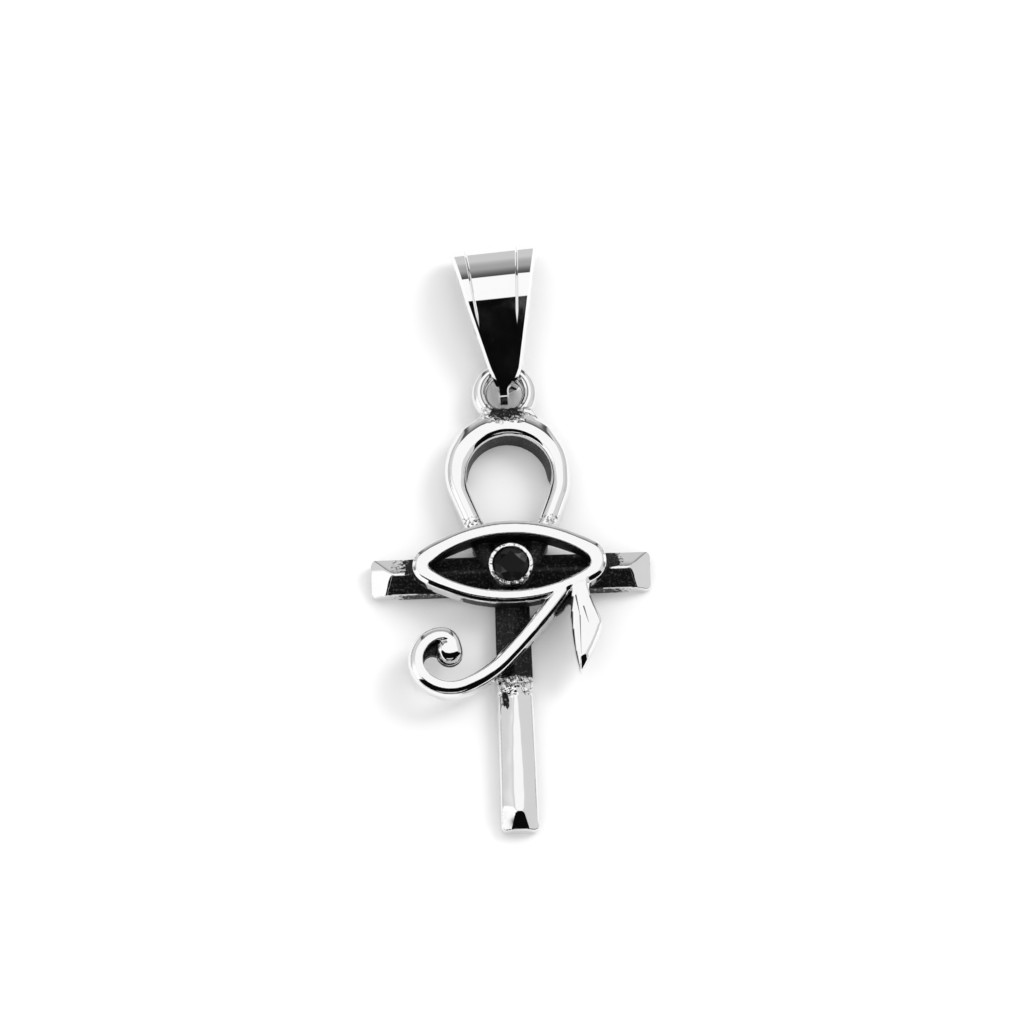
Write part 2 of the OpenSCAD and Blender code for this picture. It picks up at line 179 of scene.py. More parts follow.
def loopBand(x, y, z):
    s = loopSizes
    half = s["width"] / 2
    bulge = easeStep(*s["bulgeSide"], x) * easeStep(*s["bulgeLow"], y) * easeStep(*s["bulgeHigh"], y)
    x = x - s["legBulge"] * bulge
    offset = loopOffset(x, y)
    px, py = x, y - s["centreY"]
    rho = np.maximum(np.hypot(px, py), 0.1)
    upper = easeStep(*s["upperHalf"], py)
    head = easeStep(*s["headShare"], py / rho)
    crest = -s["crestShift"] * easeStep(0, 1, py / rho)
    hole = s["holeRadius"] + s["holeShift"] * px / rho - s["holeDrop"] * py / rho
    inner = half + upper * (s["radius"] - half - hole)
    tall = easeStep(*s["legRise"], y - s["legJoinY"])
    wall = s["lowWall"] + (s["wall"] - s["lowWall"]) * tall
    top = s["lowTop"] + (s["top"] - s["lowTop"]) * tall
    inside = offset < crest
    reach = np.where(inside, inner + crest, half - crest)
    t = np.minimum(np.abs(offset - crest) / reach, s["reachLimit"])
    fall = top - wall + np.where(inside, upper * (s["innerFall"] - top + wall), head * (s["upperFall"] - top + wall))
    power = s["outerPower"] + np.where(inside, upper * (s["innerPower"] - s["outerPower"]),
                                       head * (s["upperPower"] - s["outerPower"]))
    steep = fall * power / reach * t ** (power - 1)
    dome = (z - top + fall * t ** power) / np.sqrt(1 + steep ** 2)
    band = roundMax(s["edgeRound"], offset - half, -offset - inner, dome, -z, s["legFootY"] - y)
    return meltMin(s["skirtMelt"], band, loopSkirt(px, py, z))


def loopSkirt(px, py, z):  # the cast wall round the hole slopes inwards to the surface below
    s = loopSizes
    lean = (s["holeRadius"] - s["footRadius"]) / s["wall"]
    drop = s["footDrop"] + (s["holeDrop"] - s["footDrop"]) * z / s["wall"]
    shift = s["holeShift"] * z / s["wall"]
    foot = s["footRadius"] + s["lowGain"] * easeStep(*s["lowHalf"], py)
    hole = foot + lean * z - np.hypot(px - shift, py + drop)
    return roundMax(s["skirtRound"], np.hypot(px, py) - s["radius"], hole / math.hypot(1, lean),
                    z - s["wall"] + s["skirtSunk"], -py - s["skirtLow"], -z)


# Hanging ring and its solder

ringSizes = {
    "radius": 1.95, "wire": 0.6, "y": 14.8, "z": 1.28,
    "solderHalf": 2.55, "solderShift": 0.2, "solderLean": 0.64, "solderFoot": 2.5, "solderHead": 1.45,
    "solderBottom": 0.6, "solderTop": 1.95, "solderRound": 0.22, "solderMelt": 0.3,
}


def hangingRing(x, y, z):
    s = ringSizes
    py = y - s["y"]
    wire = np.hypot(np.hypot(x, py) - s["radius"], z - s["z"]) - s["wire"]
    side = np.abs(x - s["solderShift"]) - s["solderHalf"] + s["solderLean"] * (py + s["solderFoot"])
    solder = roundMax(s["solderRound"], side, py + s["solderHead"], -py - s["solderFoot"],
                      z - s["solderTop"], s["solderBottom"] - z)
    return meltMin(s["solderMelt"], wire, solder)


# Eye: almond frame, tail with a ball, sunk curl and cheek drop, all seen from the eye's middle

eyeSizes = {
    "y": 0.2, "base": 1.75, "top": 3.25, "width": 1.06, "cornerWidth": 1.26, "cornerReach": (4.9, 6.6),
    "upperRadius": 10.88, "upperRise": 2.93, "lowerRadius": 11.62, "lowerDrop": 2.68,
    "leftCorner": 0.8, "rightCorner": 1.1, "edgeRound": 0.05, "outerSide": (-0.1, 0.1),
    "thinBevel": 0.03, "innerBevel": 0.2, "lowerLid": (0.4, -0.6), "outerBevel": 0.28,
    "bevelTilt": 45, "upperTilt": 27, "upperLid": (0.3, 1.0), "upperDeep": 0.45, "deepLid": (0.6, 1.6),
    "tailMelt": 0.16, "webTop": 2.3, "webRound": 0.06,
}
tailSizes = {"x": 4.25, "y": -1.75, "heading": 233.7, "width": 1.16, "curlArcs": (0.6, 2.6), "curlBevel": 0.38,
             "curlRound": 0.2}
# Arcs of the tail. Columns: radius, turn
tailArcs = [(58.0, 7.8), (8.96, 22.7), (2.90, 66.5), (2.20, 118.3), (1.38, 34.6), (0.85, 126.0)]
# The ball draws in below its middle, and its top falls away in one direction
ballSizes = {"radius": 1.03, "middle": 2.45, "depth": 1.1, "waist": 0.2, "melt": 0.3, "reach": (0.5, -0.3),
             "round": 0.42, "fallX": -0.2, "fallY": -0.98, "fall": 0.5, "spread": 0.4, "spreadStart": (-0.2, 0.5),
             "bevelOff": 0.3}
curlSizes = {"x": -5.9, "y": -6.75, "radius": 1.3, "rightX": -4.95, "edgeX": -6.9, "edgeY": -7.55, "edgeLean": 0.35,
             "notchX": -6.3, "notchY": -7.66, "notchRadius": 0.66}
browSizes = {"half": 2.3, "reach": 2.95, "top": 1.2, "round": 0.08}
notchPlan = [(3.1, -3.9), (3.9, -2.2), (4.9, -1.9), (4.6, -3.25), (4.38, -3.1), (4.12, -3.3), (3.95, -3.62),
             (3.4, -4.05)]
dropPlan = [
    (4.66, -0.60), (4.66, -1.20), (4.68, -1.90), (4.55, -2.90), (4.43, -4.20), (4.47, -5.30), (4.57, -6.50),
    (4.73, -7.55), (4.86, -8.40), (4.97, -8.75), (5.12, -8.80), (5.62, -7.95), (6.10, -7.05), (6.52, -6.15),
    (6.78, -5.45), (6.84, -5.05), (6.80, -4.70), (6.58, -4.18), (6.26, -3.60), (6.03, -2.95), (5.95, -2.35),
    (6.02, -1.75), (6.1, -1.2), (6.1, -0.40),
]
dropSizes = {"ridgeX": 5.30, "ridgeSoft": 0.1, "leftFall": 0.15, "rightFall": 0.17, "lid": (0.5, 1.7),
             "underLid": 0.3, "edgeRound": 0.06, "thinBevel": 0.05, "bevel": 0.26, "lowSide": (-0.3, 0.3),
             "lowPart": (-4.6, -5.4), "rightSide": (0.0, 0.3), "headPart": (-2.7, -1.8), "headBevel": 0.16,
             "lidBevelOff": 0.4, "tipX": 5.07, "tipY": -7.85, "tipAcross": 0.6, "tipAlong": 0.8, "tipFall": 0.7,
             "tipSide": (-0.12, 0.05)}


def lidCorner(radius):
    s = eyeSizes
    upperY, lowerY = s["upperRise"] - s["upperRadius"], s["lowerRadius"] - s["lowerDrop"]
    upper, lower = s["upperRadius"] - radius, s["lowerRadius"] - radius
    cy = (upper ** 2 - lower ** 2 + lowerY ** 2 - upperY ** 2) / (2 * (lowerY - upperY))
    cx = math.sqrt(upper ** 2 - (cy - upperY) ** 2)
    return cx, cy, math.atan2(cy - lowerY, cx), math.atan2(cy - upperY, cx)


def frameOffset(x, y):  # signed distance from the almond's centre line, positive outside
    s = eyeSizes
    upperY, lowerY = s["upperRise"] - s["upperRadius"], s["lowerRadius"] - s["lowerDrop"]
    offset = np.maximum(np.hypot(x, y - upperY) - s["upperRadius"], np.hypot(x, y - lowerY) - s["lowerRadius"])
    for side, radius in ((1, s["rightCorner"]), (-1, s["leftCorner"])):
        cx, cy, low, high = lidCorner(radius)
        px, py = side * x - cx, y - cy
        angle = np.arctan2(py, px)
        offset = np.where((angle > low) & (angle < high), np.hypot(px, py) - radius, offset)
    return offset


def lidHalf(x):  # half the lids' width, which grows towards the corners
    s = eyeSizes
    return (s["width"] + (s["cornerWidth"] - s["width"]) * easeStep(*s["cornerReach"], np.abs(x))) / 2


def tailPath():  # centre, radius, first angle and turn of each arc, and the end point
    x, y, heading = tailSizes["x"], tailSizes["y"], math.radians(tailSizes["heading"])
    arcs = []
    for radius, turn in tailArcs:
        turn = math.radians(turn)
        cx, cy = x + radius * math.sin(heading), y - radius * math.cos(heading)
        arcs.append((cx, cy, radius, heading + math.pi / 2, turn))
        heading -= turn
        x, y = cx - radius * math.sin(heading), cy + radius * math.cos(heading)
    return arcs, (x, y)


def tailOffset(x, y):  # signed distance from the tail's centre line, and how far along the arcs it is
    arcs, (endX, endY) = tailPath()
    best = np.hypot(x - endX, y - endY)
    signed, along = best, np.full_like(best, len(arcs))
    for i, (cx, cy, radius, first, turn) in enumerate(arcs):
        px, py = x - cx, y - cy
        passed = np.mod(first - np.arctan2(py, px), 2 * math.pi)
        offset = np.hypot(px, py) - radius
        near = (passed <= turn) & (np.abs(offset) < best)
        best = np.where(near, np.abs(offset), best)
        signed = np.where(near, offset, signed)
        along = np.where(near, i + passed / turn, along)
    return signed, along


def planDistance(plan, x, y):  # distance to a closed outline, negative inside
    best = np.full(np.broadcast(x, y).shape, 1e9, dtype=np.result_type(x, y))
    inside = np.zeros(best.shape, bool)
    for (ax, ay), (bx, by) in zip(plan, plan[1:] + plan[:1]):
        ex, ey = bx - ax, by - ay
        t = np.clip(((x - ax) * ex + (y - ay) * ey) / (ex * ex + ey * ey), 0, 1)
        best = np.minimum(best, np.hypot(x - ax - t * ex, y - ay - t * ey))
        if ay != by:
            crossed = ((y >= ay) != (y >= by)) & (x < ax + (y - ay) * ex / ey)
            inside ^= crossed
    return np.where(inside, -best, best)


def eyeLids(x, y, z):
    s = eyeSizes
    offset = frameOffset(x, y)
    outer = easeStep(*s["outerSide"], offset)
    inside = s["thinBevel"] + (s["innerBevel"] - s["thinBevel"]) * easeStep(*s["lowerLid"], y)
    bevel = inside + (s["outerBevel"] - inside) * outer
    tilt = np.radians(s["bevelTilt"] + (s["upperTilt"] - s["bevelTilt"]) * easeStep(*s["upperLid"], y) * outer)
    side, top = np.abs(offset) - lidHalf(x), z - s["top"]
    deep = s["base"] - z - s["upperDeep"] * easeStep(*s["deepLid"], y)
    return roundMax(s["edgeRound"], side, top, deep, (side + bevel) * np.sin(tilt) + top * np.cos(tilt))


def eyeTail(x, y, z):  # the tail, its curl and the ball at its end
    s, t, b = eyeSizes, tailSizes, ballSizes
    offset, along = tailOffset(x, y)
    curl = easeStep(*t["curlArcs"], along)
    outer = easeStep(*s["outerSide"], offset)
    inner = s["outerBevel"] + (s["thinBevel"] - s["outerBevel"]) * curl
    bevel = inner + (s["outerBevel"] + (t["curlBevel"] - s["outerBevel"]) * curl - inner) * outer
    edge = s["edgeRound"] + (t["curlRound"] - s["edgeRound"]) * curl * outer
    endX, endY = tailPath()[1]
    px, py = x - endX, y - endY
    rho = np.hypot(px, py)
    under = np.maximum(b["middle"] - z, 0) / b["depth"]
    ball = rho - b["radius"] * np.sqrt(np.maximum(1 - under ** 2, b["waist"]))
    side = meltMin(b["melt"], np.abs(offset) - t["width"] / 2, ball)
    near = easeStep(*b["reach"], rho - b["radius"])
    ahead, lateral = b["fallX"] * px + b["fallY"] * py, b["fallX"] * py - b["fallY"] * px
    fall = b["fall"] * np.maximum(ahead, 0) ** 2 + b["spread"] * lateral ** 2 * easeStep(*b["spreadStart"], ahead)
    top = z - s["top"] + fall * near
    edge = edge + (b["round"] - edge) * near
    return roundMax(edge, side, top, s["base"] - z, bevelPlane(side, top, bevel) - b["bevelOff"] * near)


def browWeb(x, y, z):  # thin metal between the loop's feet, behind the upper lid
    s = browSizes
    return roundMax(s["round"], np.abs(x) - s["half"], y - s["reach"], -y, z - s["top"], -z)


def curlWeb(x, y, z):  # sunk floor of the curl, with a round notch in its lower edge
    s, c = eyeSizes, curlSizes
    disc = np.hypot(x - c["x"], y - c["y"]) - c["radius"]
    notch = c["notchRadius"] - np.hypot(x - c["notchX"], y - c["notchY"])
    edge = c["edgeY"] + c["edgeLean"] * (x - c["edgeX"]) - y
    return roundMax(s["webRound"], disc, notch, x - c["rightX"], edge, z - s["webTop"], s["base"] - z)


def notchWeb(x, y, z):  # cast web in the corner between the tail and the drop
    s = eyeSizes
    return roundMax(s["webRound"], planDistance(notchPlan, x, y), z - s["webTop"], s["base"] - z)


def cheekDrop(x, y, z):
    s, d = eyeSizes, dropSizes
    plan, offset = planDistance(dropPlan, x, y), frameOffset(x, y)
    px = x - d["ridgeX"]
    lid = easeStep(*d["lid"], offset)  # the roof is level where it meets the lid
    slope = np.where(px < 0, d["leftFall"], d["rightFall"]) * lid
    top = z - s["top"] + softRidge(px, d["ridgeSoft"]) * slope
    ahead = d["tipAcross"] * (x - d["tipX"]) + d["tipAlong"] * (d["tipY"] - y)  # a facet on the tip's lower right
    ahead = ahead * easeStep(*d["tipSide"], x - d["tipX"])
    tip = (z - s["top"] + ahead * d["tipFall"]) / math.hypot(1, d["tipFall"])
    low = easeStep(*d["lowSide"], px) * easeStep(*d["lowPart"], y)
    right = easeStep(*d["rightSide"], px)
    edge = bevelPlane(plan, top, d["thinBevel"] + (d["bevel"] - d["thinBevel"]) * low)
    edge = edge + d["headBevel"] * easeStep(*d["headPart"], y) * right - d["lidBevelOff"] * (1 - lid) * (1 - right)
    return roundMax(d["edgeRound"], plan, top / np.hypot(1, slope), tip, edge, s["base"] - z,
                    -d["underLid"] - offset)


settingSizes = {"radius": 1.72, "top": 2.95, "bore": 1.42, "seat": 1.6, "foot": 0.5, "edgeRound": 0.07,
                "beadInset": 0.14, "beadMelt": 0.05, "boreRound": 0.04}
# Beads raised on the lower rim. Columns: angle, radius
rimBeads = [(-47, 0.12), (-66, 0.13), (-88, 0.15), (-108, 0.13), (-131, 0.14)]


def settingCollar(x, y, z):
    s = settingSizes
    collar = roundMax(s["edgeRound"], np.hypot(x, y) - s["radius"], z - s["top"], s["foot"] - z)
    reach = s["radius"] - s["beadInset"]
    for angle, radius in rimBeads:
        bx, by = reach * math.cos(math.radians(angle)), reach * math.sin(math.radians(angle))
        bead = np.sqrt((x - bx) ** 2 + (y - by) ** 2 + (z - s["top"]) ** 2) - radius
        collar = meltMin(s["beadMelt"], collar, bead)
    return collar


# Fillets where the parts of the cast run into each other
fillets = {"loop": 0.12, "brow": 0.12, "curl": 0.12, "drop": 0.2, "notch": 0.06, "eye": 0.16, "setting": 0.14}


def ankhBody(x, y, z):
    f, s = fillets, settingSizes
    ey = y - eyeSizes["y"]
    body = meltMin(f["loop"], crossBars(x, y, z), loopBand(x, y, z))
    body = meltMin(f["brow"], body, browWeb(x, ey, z))
    body = meltMin(ringSizes["solderMelt"], body, hangingRing(x, y, z))
    eye = meltMin(eyeSizes["tailMelt"], eyeLids(x, ey, z), eyeTail(x, ey, z))
    eye = meltMin(f["curl"], eye, curlWeb(x, ey, z))
    eye = meltMin(f["drop"], eye, cheekDrop(x, ey, z))
    eye = meltMin(f["notch"], eye, notchWeb(x, ey, z))
    body = meltMin(f["eye"], body, eye)
    body = meltMin(f["setting"], body, settingCollar(x, ey, z))
    bore = np.minimum(s["bore"] - np.hypot(x, ey), z - s["seat"])
    return roundMax(s["boreRound"], body, bore)


# Hand polish, rough solder, rough rim of the setting and the rough end of the shaft's blackened part
polishWaves = makeRipples(3, 1.5)
solderWaves = makeRipples(11, 0.5, 14)
rimWaves = makeRipples(5, 0.45, 12)
castWaves = makeRipples(21, 0.55, 14)
roughSizes = {
    "polish": 0.003, "solder": 0.06, "solderReach": (1.35, 0.5), "solderStretch": 0.62, "solderDrop": 1.95,
    "rim": 0.006, "rimLower": 0.02, "rimLowerPart": (0.4, -0.8), "rimReach": (1.9, 1.75), "rimUp": (2.5, 2.8),
    "cast": 0.035, "castTop": (-8.0, -8.7), "castFoot": (-10.3, -9.6), "castHalf": (1.5, 1.3), "castUp": (2.2, 2.0),
}


def ankhSurface(x, y, z):
    s = roughSizes
    ey = y - eyeSizes["y"]
    onSolder = easeStep(*s["solderReach"], np.hypot(x * s["solderStretch"], y - (ringSizes["y"] - s["solderDrop"])))
    onRim = easeStep(*s["rimReach"], np.hypot(x, ey)) * easeStep(*s["rimUp"], z)
    onRim = onRim * (s["rim"] + s["rimLower"] * easeStep(*s["rimLowerPart"], ey))
    onCast = easeStep(*s["castTop"], y) * easeStep(*s["castFoot"], y)
    onCast = onCast * easeStep(*s["castHalf"], np.abs(x)) * easeStep(*s["castUp"], z)
    body = ankhBody(x, y, z) + onRim * ripple(rimWaves, x, y, z) + s["cast"] * onCast * ripple(castWaves, x, y, z)
    return body + s["polish"] * ripple(polishWaves, x, y, z) + s["solder"] * onSolder * ripple(solderWaves, x, y, z)


# Grid steps are finer above splitZ, where the detail is
meshSizes = {"step": 0.07, "lowStep": 0.1, "highStep": 0.062, "splitZ": 1.55, "lowMargin": 0.2, "highMargin": 0.25,
             "floorMargin": 0.15, "triangles": 188000, "firstRounds": 4, "firstShare": 0.5, "lastRounds": 2,
             "lastReach": 0.03, "edgeShare": 0.45, "edgeAngle": 5}


def surfaceNet(field, xs, ys, zs):  # one vertex in each cell that the surface passes through
    values = field(xs[:, None, None], ys[None, :, None], zs[None, None, :])
    inside = values < 0
    shape = np.array(values.shape)
    strides = np.array([shape[1] * shape[2], shape[2], 1])
    steps = np.eye(3, dtype=int)
    quads, places = [], []
    for axis in range(3):
        low, high = [slice(None)] * 3, [slice(None)] * 3
        low[axis], high[axis] = slice(0, -1), slice(1, None)
        edge = np.argwhere(inside[tuple(low)] != inside[tuple(high)])
        first = values[tuple(edge.T)].astype(float)
        second = values[tuple((edge + steps[axis]).T)].astype(float)
        place = edge.astype(float)
        place[:, axis] += first / (first - second)
        side, up = steps[(axis + 1) % 3], steps[(axis + 2) % 3]
        cells = np.stack([(edge - i * side - j * up) @ strides for i, j in ((1, 1), (0, 1), (0, 0), (1, 0))], 1)
        cells[first > 0] = cells[first > 0][:, ::-1]
        quads.append(cells)
        places.append(np.repeat(place[:, None], 4, 1))
    quads, places = np.concatenate(quads), np.concatenate(places)
    index = np.unique(quads.ravel(), return_inverse=True)[1]
    index = index.ravel()
    count = np.bincount(index)
    flat = places.reshape(-1, 3)
    middle = np.stack([np.bincount(index, flat[:, k]) / count for k in range(3)], 1)
    points = np.stack([np.interp(middle[:, k], np.arange(len(c)), c) for k, c in enumerate((xs, ys, zs))], 1)
    return points, index.reshape(-1, 4)


def slopeOf(field, points, step=0.004):
    parts = []
    for axis in range(3):
        ahead, behind = points.copy(), points.copy()
        ahead[:, axis] += step
        behind[:, axis] -= step
        parts.append((field(*ahead.T) - field(*behind.T)) / (2 * step))
    return np.stack(parts, 1)


def settle(field, points, rounds, reach):  # moves points onto the surface
    for _ in range(rounds):
        slope = slopeOf(field, points)
        size = np.maximum((slope ** 2).sum(1), 0.05)
        move = -(field(*points.T) / size)[:, None] * slope
        length = np.linalg.norm(move, axis=1)
        points = points + move * np.minimum(1, reach / np.maximum(length, 1e-9))[:, None]
    return points


# Where the recesses are blackened, and where shade is painted black in the notch between the tail and the drop. A
# pair runs from clean metal to black
eyeSoot = {"edge": (0.12, -0.02), "top": (2.98, 2.8), "collar": (1.85, 1.78), "collarUp": (2.2, 2.6)}
armSoot = {"half": (1.65, 1.4), "top": (2.2, 1.95), "from": 5, "roof": (0.5, 0.8), "lower": (-0.07, -0.16),
           "lowerEnd": (9.22, 9.08), "lowerLean": 0.35, "lowerStart": 0.1, "upper": (0.05, 0.14),
           "leftEnd": [(0.3, 1), (0.6, 0.5), (1.7, 0.42), (1.9, 0)],
           "rightEnd": [(0.8, 1), (1.0, 0.5), (1.4, 0.4), (1.6, 0)],
           "nearLid": (1.2, 0.3), "nearShare": 0.6, "wall": (-1.3, -1.42), "wallFrom": 3, "wallTop": (1.2, 1.05),
           "wallEnd": [(8.0, 0.6), (10.0, 0.2)]}
shaftSoot = {"half": (1.6, 1.5), "top": (2.3, 2.0), "end": (-9.0, -8.1), "specks": (-9.8, -9.4), "specksShare": 0.4,
             "patchX": -0.78, "patchY": -10.4, "patchLean": -0.12, "patchHalf": 0.34, "patch": (1.15, 0.6),
             "patchShare": 0.62, "patchLeft": (-1.14, -1.06)}
lidSoot = {"edge": (-0.12, -0.06), "top": (2.95, 2.6), "half": (4.6, 3.2), "outside": (0.45, 0.2)}
curlSoot = {"edge": (0.2, 0.0), "top": (2.95, 2.7), "ballTop": (2.75, 2.45), "rim": 0.08, "rimTop": (2.65, 2.5),
            "rimShare": 0.9, "rimFacing": -0.4}
# Painted shade: the shadowed walls and low floor in the notch between the tail and the drop are painted black
notchShade = {"x": 4.15, "y": -2.9, "reach": (1.7, 1.4), "top": (3.05, 2.9), "steep": 0.75, "floor": 2.45}
loopSoot = {"edge": (-0.62, -0.72), "top": (2.05, 1.85), "upper": (-1.2, 0.2), "pits": 0.42, "pitsEnd": (4.7, 4.2),
            "pitsFrom": 2.6, "pitsLow": (1.8, 2.1), "pitsTop": (2.75, 2.6)}
browSoot = {"half": 2.4, "top": 1.3, "from": 1.4, "to": 3.3}
rimSoot = {"share": 0.38, "lowerShare": 0.1, "lower": (0.2, -1.2), "reach": (1.9, 1.75), "up": (2.6, 2.8)}
solderSoot = {"share": 0.64, "reach": (1.2, 0.5), "stretch": 0.6, "drop": 1.75, "lowShare": 0.52,
              "lowReach": (1.35, 0.8), "lowX": 0.1, "lowY": 12.75, "lowLong": 1.5, "lowHigh": 0.7}


def sootOnArms(x, y, z, outside, facingUp):
    s = armSoot
    onArm = easeStep(*s["half"], np.abs(y)) * easeStep(*s["top"], z) * (np.abs(x) > s["from"])
    lowerEnd = np.abs(x) - s["lowerLean"] * (np.abs(y) - s["lowerStart"])
    lower = easeStep(*s["lower"], y) * easeStep(*s["lowerEnd"], lowerEnd)
    ends = np.where(x < 0, np.interp(outside, *zip(*s["leftEnd"])), np.interp(outside, *zip(*s["rightEnd"])))
    upper = easeStep(*s["upper"], y) * ends
    roof = onArm * facingUp * np.maximum(lower, upper)
    near = onArm * easeStep(*s["nearLid"], outside) * s["nearShare"]
    wall = easeStep(*s["wall"], y) * (np.abs(x) > s["wallFrom"]) * easeStep(*s["wallTop"], z)
    return np.maximum.reduce([roof, near, wall * np.interp(np.abs(x), *zip(*s["wallEnd"]))])


def sootOnShaft(x, y, z, facingUp):
    s = shaftSoot
    onShaft = easeStep(*s["half"], np.abs(x)) * easeStep(*s["top"], z) * (y < 0)
    end = np.maximum(easeStep(*s["end"], y), s["specksShare"] * easeStep(*s["specks"], y))
    along = y - s["patchY"]
    patch = easeStep(*s["patch"], np.hypot((x - s["patchX"] - s["patchLean"] * along) / s["patchHalf"], along))
    return np.maximum(onShaft * end, s["patchShare"] * patch * facingUp * easeStep(*s["patchLeft"], x))


def sootInCurl(x, y, z, facingBack):
    s, c = curlSoot, curlSizes
    floor = easeStep(*s["edge"], np.hypot(x - c["x"], y - c["y"]) - c["radius"]) * easeStep(*s["top"], z)
    endX, endY = tailPath()[1]
    ball = np.hypot(x - endX, y - endY) - ballSizes["radius"]
    floor = np.where(ball < 0, floor * easeStep(*s["ballTop"], z), floor)
    rim = s["rimShare"] * (ball < s["rim"]) * easeStep(*s["rimTop"], z) * (facingBack < s["rimFacing"])
    return np.maximum(floor, rim)


def blackeningOf(x, y, z, normal):  # 0 is clean metal and 1 is black, from blackening or from painted shade
    ey = y - eyeSizes["y"]
    offset, half, rho = frameOffset(x, ey), lidHalf(x), np.hypot(x, ey)
    outside = np.maximum(offset - half, 0)
    facingUp = easeStep(*armSoot["roof"], normal[:, 2])
    s = eyeSoot
    inEye = easeStep(*s["edge"], offset + half) * easeStep(*s["top"], z)
    inEye *= 1 - easeStep(*s["collar"], rho) * easeStep(*s["collarUp"], z)
    s = lidSoot
    lidWall = easeStep(*s["edge"], offset - half) * easeStep(*s["top"], z) * (ey < 0)
    lidWall *= easeStep(*s["half"], np.abs(x)) * easeStep(*s["outside"], outside)
    # painted shade in the notch, on its steep walls and low floor
    s = notchShade
    notch = easeStep(*s["reach"], np.hypot(x - s["x"], ey - s["y"])) * easeStep(*s["top"], z)
    notch *= np.maximum(normal[:, 2] < s["steep"], z < s["floor"])
    s = loopSoot
    hole = easeStep(*s["edge"], loopOffset(x, y)) * easeStep(*s["top"], z)
    hole *= easeStep(*s["upper"], y - loopSizes["centreY"])
    pits = s["pits"] * easeStep(*s["pitsEnd"], y) * (y > s["pitsFrom"])
    pits *= easeStep(*s["pitsLow"], z) * easeStep(*s["pitsTop"], z)
    s = browSoot
    brow = (np.abs(x) < s["half"]) * (z < s["top"]) * (y > s["from"]) * (y < s["to"])
    s = rimSoot
    rim = (s["share"] + s["lowerShare"] * easeStep(*s["lower"], ey)) * easeStep(*s["reach"], rho)
    rim *= easeStep(*s["up"], z)
    s = solderSoot
    solder = s["share"] * easeStep(*s["reach"], np.hypot(x * s["stretch"], y - (ringSizes["y"] - s["drop"])))
    low = np.hypot((x - s["lowX"]) / s["lowLong"], (y - s["lowY"]) / s["lowHigh"])
    places = [inEye, lidWall, notch, hole, pits, brow, rim, solder, s["lowShare"] * easeStep(*s["lowReach"], low),
              sootOnArms(x, y, z, outside, facingUp), sootOnShaft(x, y, z, facingUp),
              sootInCurl(x, ey, z, normal[:, 1])]
    return np.clip(np.maximum.reduce(places), 0, 1)


def meshFrom(name, points, faces):
    mesh = bpy.data.meshes.new(name)
    mesh.vertices.add(len(points))
    mesh.vertices.foreach_set("co", np.asarray(points, np.float32).ravel())
    mesh.loops.add(faces.size)
    mesh.loops.foreach_set("vertex_index", faces.ravel().astype(np.int32))
    mesh.polygons.add(len(faces))
    mesh.polygons.foreach_set("loop_start", np.arange(0, faces.size, faces.shape[1], dtype=np.int32))
    mesh.update(calc_edges=True)
    mesh.validate()
    made = bpy.data.objects.new(name, mesh)
    scene.collection.objects.link(made)
    return made


def pointsOf(mesh):
    flat = np.zeros(len(mesh.vertices) * 3, np.float32)
    mesh.vertices.foreach_get("co", flat)
    return flat.reshape(-1, 3).astype(float)


def cornerNormals(field, points, triangles, normals):  # crisp edges: near one, each triangle keeps its own side
    m = meshSizes
    own = normals[triangles]
    agree = np.minimum.reduce([(own[:, i] * own[:, j]).sum(1) for i, j in ((0, 1), (1, 2), (2, 0))])
    bent = np.flatnonzero(agree < math.cos(math.radians(m["edgeAngle"])))
    corners = points[triangles[bent]]
    inner = corners + (corners.mean(1, keepdims=True) - corners) * m["edgeShare"]
    slope = slopeOf(field, inner.reshape(-1, 3))
    slope /= np.maximum(np.linalg.norm(slope, axis=1), 1e-9)[:, None]
    own[bent] = slope.reshape(-1, 3, 3)
    print("ankh edges:", len(bent), "of", len(triangles), "triangles")
    return own.reshape(-1, 3)


def gridLines():
    m = meshSizes
    low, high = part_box("ankh")
    xs, ys = [np.arange(first / mm - shift - m["lowMargin"], last / mm - shift + m["highMargin"], m["step"],
                        dtype=np.float32) for first, last, shift in ((low.x, high.x, 0), (low.y, high.y, crossingY))]
    zs = np.concatenate([np.arange(-m["floorMargin"], m["splitZ"], m["lowStep"]),
                         np.arange(m["splitZ"], high.z / mm + m["highMargin"], m["highStep"])]).astype(np.float32)
    return xs, ys, zs


def onFloor(points):  # nothing goes below the surface that the pendant lies on
    points[:, 2] = np.maximum(points[:, 2], 0)
    return points


def thinned(made, faceCount):  # joins the flattest faces until the mesh is light enough
    shrink = made.modifiers.new("thin", "DECIMATE")
    shrink.ratio = min(1, meshSizes["triangles"] / (2 * faceCount))
    shrink.use_collapse_triangulate = True
    thin = bpy.data.meshes.new_from_object(made.evaluated_get(bpy.context.evaluated_depsgraph_get()))
    made.modifiers.clear()
    made.data = thin
    return thin


